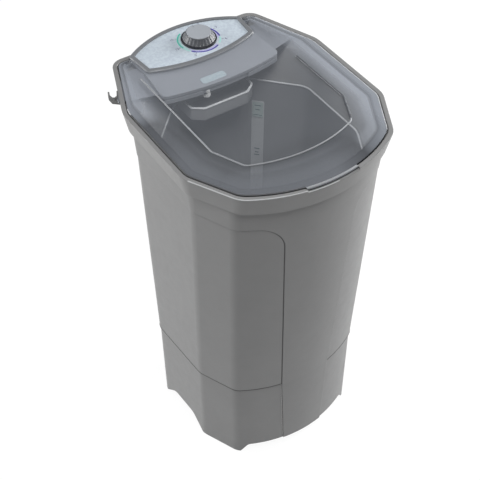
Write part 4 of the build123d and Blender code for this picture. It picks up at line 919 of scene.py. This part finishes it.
@dataclass
class LevelMarks:
    """Printed level marks on the clear strip in the tub."""

    top: Triple = (0.117921, 0.139078, 0.835)
    down: Triple = (-0.020468, -0.019554, -0.999599)
    across: Triple = (0.690783, -0.723062, 0.0)
    rise: float = 0.0002
    face: float = 0.0022
    tint: Triple = (0.0255, 0.042, 0.7515)
    line: float = 0.0022
    rows: tuple[Span, ...] = (
        (0.7635, 15), (0.7515, 11), (0.7365, 21), (0.636, 13), (0.625, 9), (0.617, 13),
    )

    def place(self, piece: Piece, z: float, off: float) -> Piece:
        """Stand a flat mark on the strip.

        Args:
            piece: Mark modelled flat at the origin.
            z: Height above the floor.
            off: Distance in front of the tub's wall.

        Returns:
            The same object, settled.
        """
        top, down, across = map(Vector, (self.top, self.down, self.across))
        up, normal = -down, down.cross(across)
        point = top + down * ((top.z - z) / up.z) + normal * off
        turn = Matrix((up.cross(normal), up, normal)).transposed().to_4x4()
        piece.matrix_world = Matrix.Translation(point) @ turn @ piece.matrix_world
        Bench.settle(piece)
        return piece

    def build(self) -> None:
        """Build the tinted head of the strip and the dark level lines."""
        width, length, height = self.tint
        head = self.place(Bench.pad(Vector(), width, length, self.rise, 0, 0.05), height, self.face)
        tint = PrintInk("ink level green", (0.50, 0.60, 0.58), alpha=0.8)
        Bench.finish(head, "level_tint", Body.CABINET, tint.material(), "level_clear")
        front = self.face + self.rise
        flat = [(Bench.pad(Vector(), width * MM, self.line, self.rise), z) for z, width in self.rows]
        marks = [self.place(mark, z, front) for mark, z in flat]
        dark = PrintInk("ink level dark", (0.10, 0.17, 0.18), alpha=0.85)
        Bench.finish(Bench.join(marks), "level_lines", Body.CABINET, dark.material(), "level_clear")


@dataclass
class TimerKnob:
    """Low timer knob: a dark base ring, a fluted cone, a pale cap and a short shaft."""

    ring_rise: float = 0.0036
    ring_radius: float = 0.0408
    cone_foot: float = 0.0372
    cone_head: float = 0.0296
    rise: float = 0.0190
    cap_radius: float = 0.0281
    cap_rise: float = 0.0007
    sink: float = 0.0006
    foot: float = 0.0012
    lip: float = 0.0018
    taper: float = 0.985
    seat: float = 0.0012
    sides: int = 96
    flute: float = 0.0006

    def spot(self, height: float) -> Vector:
        """Point on the knob's axis at a height above its underside."""
        low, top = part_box("timer_knob")
        return Vector(((low.x + top.x) / 2, (low.y + top.y) / 2, low.z + height))

    def round_bar(self, radius: float, low: float, high: float) -> Piece:
        """Round bar on the knob's axis, as a start for its pieces.

        Args:
            radius: Radius of the bar.
            low: Height of its foot above the knob's underside.
            high: Height of its top above the knob's underside.

        Returns:
            The bar, in edit mode, with nothing selected.
        """
        Bench.clear()
        bpy.ops.mesh.primitive_cylinder_add(
            vertices=self.sides, radius=radius, depth=high - low, location=self.spot((low + high) / 2)
        )
        bar = bpy.context.object
        Bench.settle(bar)
        bpy.ops.object.mode_set(mode="EDIT")
        bpy.ops.mesh.select_all(action="DESELECT")
        return bar

    def pick_top(self, piece: Piece) -> None:
        """Select the highest level face of a piece in edit mode."""
        bpy.ops.mesh.select_all(action="DESELECT")
        mesh = bmesh.from_edit_mesh(piece.data)
        level = [face for face in mesh.faces if face.normal.z > 0.99]
        max(level, key=lambda face: face.calc_center_median().z).select_set(True)
        bmesh.update_edit_mesh(piece.data)

    def raise_top(self, height: float, grow: float) -> None:
        """Extrude the selected top face and change its width by a factor."""
        bpy.ops.mesh.extrude_region_move(TRANSFORM_OT_translate={"value": (0, 0, height)})
        bpy.ops.transform.resize(value=(grow, grow, 1), center_override=self.spot(0.0))

    def soften(self, piece: Piece, width: float) -> None:
        """Leave edit mode, round the sharp edges and shade the piece."""
        bpy.ops.object.mode_set(mode="OBJECT")
        Bench.hold(piece)
        rounding = piece.modifiers.new("rounding", "BEVEL")
        rounding.width = width
        rounding.segments = 2
        rounding.limit_method = "ANGLE"
        rounding.angle_limit = math.radians(25)
        bpy.ops.object.modifier_apply(modifier=rounding.name)
        bpy.ops.object.shade_smooth_by_angle(angle=math.radians(35))

    def ring(self, finish: MouldedPlastic) -> None:
        """Build the flat base ring that turns just above the panel."""
        ring = self.round_bar(self.ring_radius, 0.0, self.ring_rise)
        self.pick_top(ring)
        bpy.ops.mesh.inset(thickness=0.0022)
        bpy.ops.transform.translate(value=(0, 0, 0.0004))
        self.soften(ring, 0.0005)
        Bench.finish(ring, "knob_base_ring", Body.KNOB, finish.material(), "knob_grey")

    def cone(self, finish: MouldedPlastic) -> None:
        """Build the cone with its flutes and the seat of the cap."""
        cone = self.round_bar(self.cone_foot, self.ring_rise - self.sink, self.ring_rise + self.foot)
        self.pick_top(cone)
        shoulder = self.rise - self.foot - self.lip
        self.raise_top(shoulder - self.ring_rise, self.cone_head / self.cone_foot)
        self.raise_top(self.lip, self.taper)
        bpy.ops.mesh.inset(thickness=self.cone_head * self.taper - self.cap_radius)
        self.raise_top(-self.seat, 1.0)
        bpy.ops.mesh.select_all(action="DESELECT")
        mesh = bmesh.from_edit_mesh(cone.data)
        middle = self.spot(0.0)
        for face in mesh.faces:
            away = face.calc_center_median() - middle
            step = round(math.atan2(away.y, away.x) / math.tau * self.sides - 0.5)
            if 0.2 < face.normal.z < 0.8 and away.z < shoulder:
                face.select_set(step % 4 < 2)
        bmesh.update_edit_mesh(cone.data)
        bpy.ops.mesh.inset(thickness=0.0003, depth=-self.flute)
        self.soften(cone, 0.0003)
        knob = Bench.finish(cone, "knob_cone", Body.KNOB, finish.material(), "knob_grey")
        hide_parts("timer_knob")

    def cap(self, finish: MouldedPlastic) -> None:
        """Build the pale cap with its shallow dish."""
        top = self.rise + self.cap_rise
        cap = self.round_bar(self.cap_radius - 0.0001, self.rise - self.seat, top)
        self.pick_top(cap)
        bpy.ops.mesh.inset(thickness=0.0016)
        bpy.ops.mesh.inset(thickness=0.0040)
        bpy.ops.transform.translate(value=(0, 0, -0.0003))
        self.soften(cap, 0.0005)
        face = Bench.finish(cap, "knob_face", Body.KNOB, finish.material(), "cap_silver")
        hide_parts("knob_cap")

    def shaft(self, finish: WorkedMetal) -> None:
        """Build the shaft that carries the knob."""
        low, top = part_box("timer_shaft")
        foot = low.z - self.spot(0.0).z
        shaft = self.round_bar((top.x - low.x) / 2, foot, self.rise - 0.0040)
        self.pick_top(shaft)
        bpy.ops.mesh.bevel(offset=0.0005, segments=1)
        self.soften(shaft, 0.0001)
        rod = Bench.finish(shaft, "knob_shaft", Body.KNOB, finish.material(), "zinc_steel")
        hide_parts("timer_shaft")

    def pointer(self) -> None:
        """Build the printed mark near the cap's edge."""
        place = self.spot(self.rise + self.cap_rise) + Vector((0, 0.0235, -0.00005))
        mark = Bench.pad(place, 0.0012, 0.0045, 0.0002)
        ink = PrintInk("ink pointer", (0.20, 0.21, 0.22)).material()
        Bench.finish(mark, "knob_pointer", Body.KNOB, ink, "cap_silver")

    def build(self) -> None:
        """Build the knob from its base to its mark."""
        self.ring(MouldedPlastic("knob ring black", (0.018, 0.019, 0.024), roughness=0.4))
        self.cone(MouldedPlastic("knob cone grey", (0.095, 0.099, 0.108), roughness=0.38))
        self.cap(MouldedPlastic("knob face grey", (0.325, 0.345, 0.375), roughness=0.42, grain=0.0006))
        self.shaft(WorkedMetal("shaft plate", (0.58, 0.59, 0.60), 0.32, (14.0, 1.0, 1.0)))
        self.pointer()


@dataclass
class Studio:
    """Plain white studio with soft lamps and the photograph's camera."""

    turn: float = -0.5767838388
    tilt: float = 0.7895877074
    stand: Triple = (-1.0269, -1.5426, 2.3647)
    lens: float = 82.5
    sensor: float = 36.0
    pale: float = 0.64
    glow: float = 1.06
    share: float = 0.9
    air_light: float = 0.145

    def camera(self) -> None:
        """Place the camera."""
        ct, st = math.cos(self.turn), math.sin(self.turn)
        ce, se = math.cos(self.tilt), math.sin(self.tilt)
        back = Vector((st * ce, -ct * ce, se))
        right = Vector((ct, st, 0))
        up = back.cross(right)
        data = bpy.data.cameras.new("view")
        data.lens = self.lens
        data.sensor_width = self.sensor
        data.sensor_fit = "HORIZONTAL"
        data.clip_end = 50
        view = bpy.data.objects.new("view", data)
        bpy.context.scene.collection.objects.link(view)
        view.matrix_world = Matrix.Translation(self.stand) @ Matrix((right, up, back)).transposed().to_4x4()
        bpy.context.scene.camera = view

    def lamp(self, name: str, place: Triple, aim: Triple, size: float, power: float) -> None:
        """Hang one square soft lamp.

        Args:
            name: Name of the lamp.
            place: Where it hangs.
            aim: The point that it faces.
            size: Length of its side in metres.
            power: Its power in watts.
        """
        data = bpy.data.lights.new(name, "AREA")
        data.size = size
        data.energy = power
        lamp = bpy.data.objects.new(name, data)
        bpy.context.scene.collection.objects.link(lamp)
        lamp.location = place
        lamp.rotation_euler = (Vector(aim) - Vector(place)).to_track_quat("-Z", "Y").to_euler()

    def backdrop(self) -> Material:
        """White for the camera, plain pale for the light.

        Returns:
            The floor's material.
        """
        sheet = Layout("floor white")
        sheet.set(Base_Color=(self.pale, self.pale, self.pale, 1), Roughness=0.9)
        glow = sheet.node("ShaderNodeEmission", Strength=self.glow)
        rays = sheet.node("ShaderNodeLightPath").outputs
        seen = sheet.sum("ADD", rays["Is Camera Ray"], rays["Is Glossy Ray"])
        seen = sheet.sum("ADD", seen, rays["Is Transmission Ray"])
        seen = sheet.ramp(seen, WHOLE, (0.0, self.share))
        mix = sheet.node("ShaderNodeMixShader")
        sheet.wire(mix, seen, sheet.shader.outputs[0], glow.outputs[0])
        out = next(n for n in sheet.tree.nodes if n.type == "OUTPUT_MATERIAL")
        sheet.fill(out, Surface=mix.outputs[0])
        return sheet.material

    def floor(self) -> None:
        """Lay the floor."""
        Bench.clear()
        bpy.ops.mesh.primitive_plane_add(size=30, location=(0, 0, 0))
        floor = bpy.context.object
        Bench.settle(floor)
        floor.name = "floor"
        floor.data.materials.append(self.backdrop())

    def air(self) -> None:
        """Fill the surroundings with even white light, seen as white."""
        world = bpy.data.worlds.new("studio")
        bpy.context.scene.world = world
        world.use_nodes = True
        nodes, links = world.node_tree.nodes, world.node_tree.links
        ground = next(n for n in nodes if n.type == "BACKGROUND")
        ground.inputs["Color"].default_value = (0.96, 0.98, 1.0, 1)
        ground.inputs["Strength"].default_value = self.air_light
        white = nodes.new("ShaderNodeBackground")
        white.inputs["Color"].default_value = (1, 1, 1, 1)
        white.inputs["Strength"].default_value = 1.0
        path = nodes.new("ShaderNodeLightPath")
        mix = nodes.new("ShaderNodeMixShader")
        links.new(path.outputs["Is Camera Ray"], mix.inputs[0])
        links.new(ground.outputs[0], mix.inputs[1])
        links.new(white.outputs[0], mix.inputs[2])
        out = next(n for n in nodes if n.type == "OUTPUT_WORLD")
        links.new(mix.outputs[0], out.inputs["Surface"])

    def build(self) -> None:
        """Build floor, light and camera."""
        bpy.context.scene.view_settings.view_transform = "Standard"
        self.floor()
        self.air()
        self.lamp("left soft box", (-2.45, 1.95, 1.4), (0, 0, 0.5), 1.7, 86)
        self.lamp("right soft box", (2.7, -0.1, 1.4), (0, 0, 0.5), 1.8, 140)
        self.lamp("high soft box", (-0.4, -1.1, 3.4), (0, 0, 0.8), 1.2, 58)
        self.camera()


@dataclass
class EdgeTrim:
    """Beads along edges: painted highlights on the lid's crease, outer edge and tab, the rim's front lip,
    the tray and the tub's ledge; painted shade on the lid's right crease; painted shadow in the lid's left
    gap and the body's seams.
    """

    crease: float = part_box("lid")[1].z
    tray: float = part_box("dispenser_tray")[1].z
    border: float = 0.921
    ledge: float = 0.835
    far: float = 0.18
    left_rear: float = 0.05
    notch: Span = (0.20, 0.15)
    tab: float = 0.922
    recess: float = 0.917
    tab_half: float = 0.062
    tab_front: float = -0.29
    recess_run: Span = (-0.063, 0.0)
    crease_right: float = 0.135
    crease_rear: float = 0.06
    crease_stop: float = 0.2
    lip_stop: float = -0.15
    tray_stop: float = 0.15
    front_bow: float = 1.55
    front: float = -0.3045
    soft: Span = (3.0, 30.0)
    drop: Triple = (0, 0, -0.0004)
    tab_shift: Triple = (0, 0.0040, -0.0012)
    rim_shift: Triple = (0, 0.0011, -0.0004)
    # Painted highlight along the lid's crease, on a bead that stands for its rounding.
    clear: Finish = MouldedPlastic("clear edge", (0.25, 0.26, 0.275), roughness=0.55)
    # Painted highlight along the lid's outer edge.
    bright: Finish = MouldedPlastic("lid rim light", (0.50, 0.51, 0.53), roughness=0.5)
    # Painted shade along the right part of the lid's crease.
    dim: Finish = MouldedPlastic("clear edge dim", (0.085, 0.09, 0.10), roughness=0.3)
    # Painted highlight on the tray's top edge and on the tub's ledge.
    lip: Finish = MouldedPlastic("tub ledge highlight", (0.66, 0.675, 0.69), roughness=0.35)
    # The tab's raised lip, coloured with a painted reflection.
    tab_light: Finish = MouldedPlastic("lid tab light", (0.30, 0.31, 0.325), roughness=0.35)
    # The rim's rounded front lip, coloured with a painted highlight.
    glint: Finish = MouldedPlastic("rim edge light", (0.50, 0.51, 0.52), roughness=0.3)
    # Painted shadow of the gap at the lid's left and front-left.
    gap: Finish = MouldedPlastic("lid gap shadow", (0.07, 0.072, 0.076), roughness=0.6)
    # Painted shadow in the seams of the body.
    seam: Finish = MouldedPlastic("seam shadow", (0.075, 0.075, 0.077), roughness=0.7)

    @staticmethod
    def level(a: Vector, b: Vector, height: float, slack: float = 0.0006) -> bool:
        """Whether both ends of an edge lie at a height."""
        return abs(a.z - height) < slack and abs(b.z - height) < slack

    def on_crease(self, a: Vector, b: Vector, right: bool) -> bool:
        """Whether an edge is part of the lid's crease, on its right or not."""
        side = (a.x + b.x) / 2 >= self.crease_right
        return side == right and self.level(a, b, self.crease) and max(a.y, b.y) < self.crease_stop

    def on_left(self, a: Vector, b: Vector) -> bool:
        """Whether an edge of the lid's border lies on its left or left of its tab."""
        side = (a.x + b.x) / 2 < -self.tab_half and (a.y + b.y) / 2 < self.left_rear
        return side and self.level(a, b, self.border)

    def on_side(self, a: Vector, b: Vector) -> bool:
        """Whether an edge of the lid's border is far out and clear of notch and left side.

        Args:
            a: One end of the edge.
            b: The other end.

        Returns:
            Whether the edge is wanted.
        """
        wide, front = self.notch
        far = abs(a.x + b.x) / 2 > self.far and not (a.y > front and abs(a.x) < wide)
        return far and self.level(a, b, self.border) and not self.on_left(a, b)

    def on_front_lip(self, a: Vector, b: Vector) -> bool:
        """Whether an edge is the outer one of the rim's lip, left of its middle.

        Args:
            a: One end of the edge.
            b: The other end.

        Returns:
            Whether the edge is wanted.
        """
        along = abs(a.x - b.x) > 0.2 * abs(a.y - b.y) and max(a.y, b.y) < self.lip_stop
        high = self.level(a, b, self.border) and max(a.x, b.x) < -self.tab_half
        outer = max(end.y - self.front_bow * end.x**2 for end in (a, b)) < self.front
        inside = self.recess_run[0] < (a.x + b.x) / 2 < self.recess_run[1]
        return along and (high or (inside and outer and self.level(a, b, self.recess)))

    def build(self) -> None:
        """Build every bead."""
        lid, tub, cabinet = "clear_smoke", "tub_plastic", "cabinet_plastic"
        beads = [
            EdgeBead("lid_crease", "lid", 0.0019, Body.LID, lid, self.clear,
                     lambda a, b: self.on_crease(a, b, False), self.soft),
            EdgeBead("lid_crease_right_shade", "lid", 0.0027, Body.LID, lid, self.dim,
                     lambda a, b: self.on_crease(a, b, True) and (a.y + b.y) / 2 < self.crease_rear,
                     self.soft, cuts=9),
            EdgeBead("lid_crease_rear_highlight", "lid", 0.0012, Body.LID, lid, self.clear,
                     lambda a, b: self.on_crease(a, b, True) and (a.y + b.y) / 2 >= self.crease_rear,
                     self.soft, cuts=9),
            EdgeBead("lid_border_highlight", "lid", 0.0010, Body.LID, lid, self.bright,
                     self.on_side, shift=self.drop),
            EdgeBead("lid_tab_lip_reflection", "lid", 0.0030, Body.LID, lid, self.tab_light,
                     lambda a, b: self.level(a, b, self.tab, 0.0003) and max(a.y, b.y) < self.tab_front,
                     shift=self.tab_shift),
            EdgeBead("rim_light", "top_frame", 0.0011, Body.CABINET, cabinet, self.glint,
                     self.on_front_lip, shift=self.rim_shift),
            EdgeBead("lid_border_left_shadow", "lid", 0.0018, Body.LID, lid, self.gap,
                     self.on_left, shift=self.drop),
            EdgeBead("tray_edge_highlight", "detergent_tray", 0.0015, Body.CABINET, tub, self.lip,
                     lambda a, b: self.level(a, b, self.tray) and min(a.y, b.y) < self.tray_stop),
            EdgeBead("tub_ledge_highlight", "wash_tub", 0.0021, Body.CABINET, tub, self.lip,
                     lambda a, b: self.level(a, b, self.ledge)),
            EdgeBead("seam_shadow_lines", "body_shell", 0.0008, Body.CABINET, cabinet, self.seam),
        ]
        for bead in beads:
            bead.build()


def write_sizes() -> None:
    """Update the view layer."""
    bpy.context.view_layer.update()


def main() -> None:
    """Build every group of pieces in order."""
    logging.basicConfig(level=logging.INFO, format="%(message)s")
    Finishes().dress(frame["nodes"])
    PanelPrint().build()
    TimerKnob().build()
    rework_mouldings(Finishes())
    LevelMarks().build()
    EdgeTrim().build()
    Studio().build()
    write_sizes()


if __name__ == "__main__":
    main()
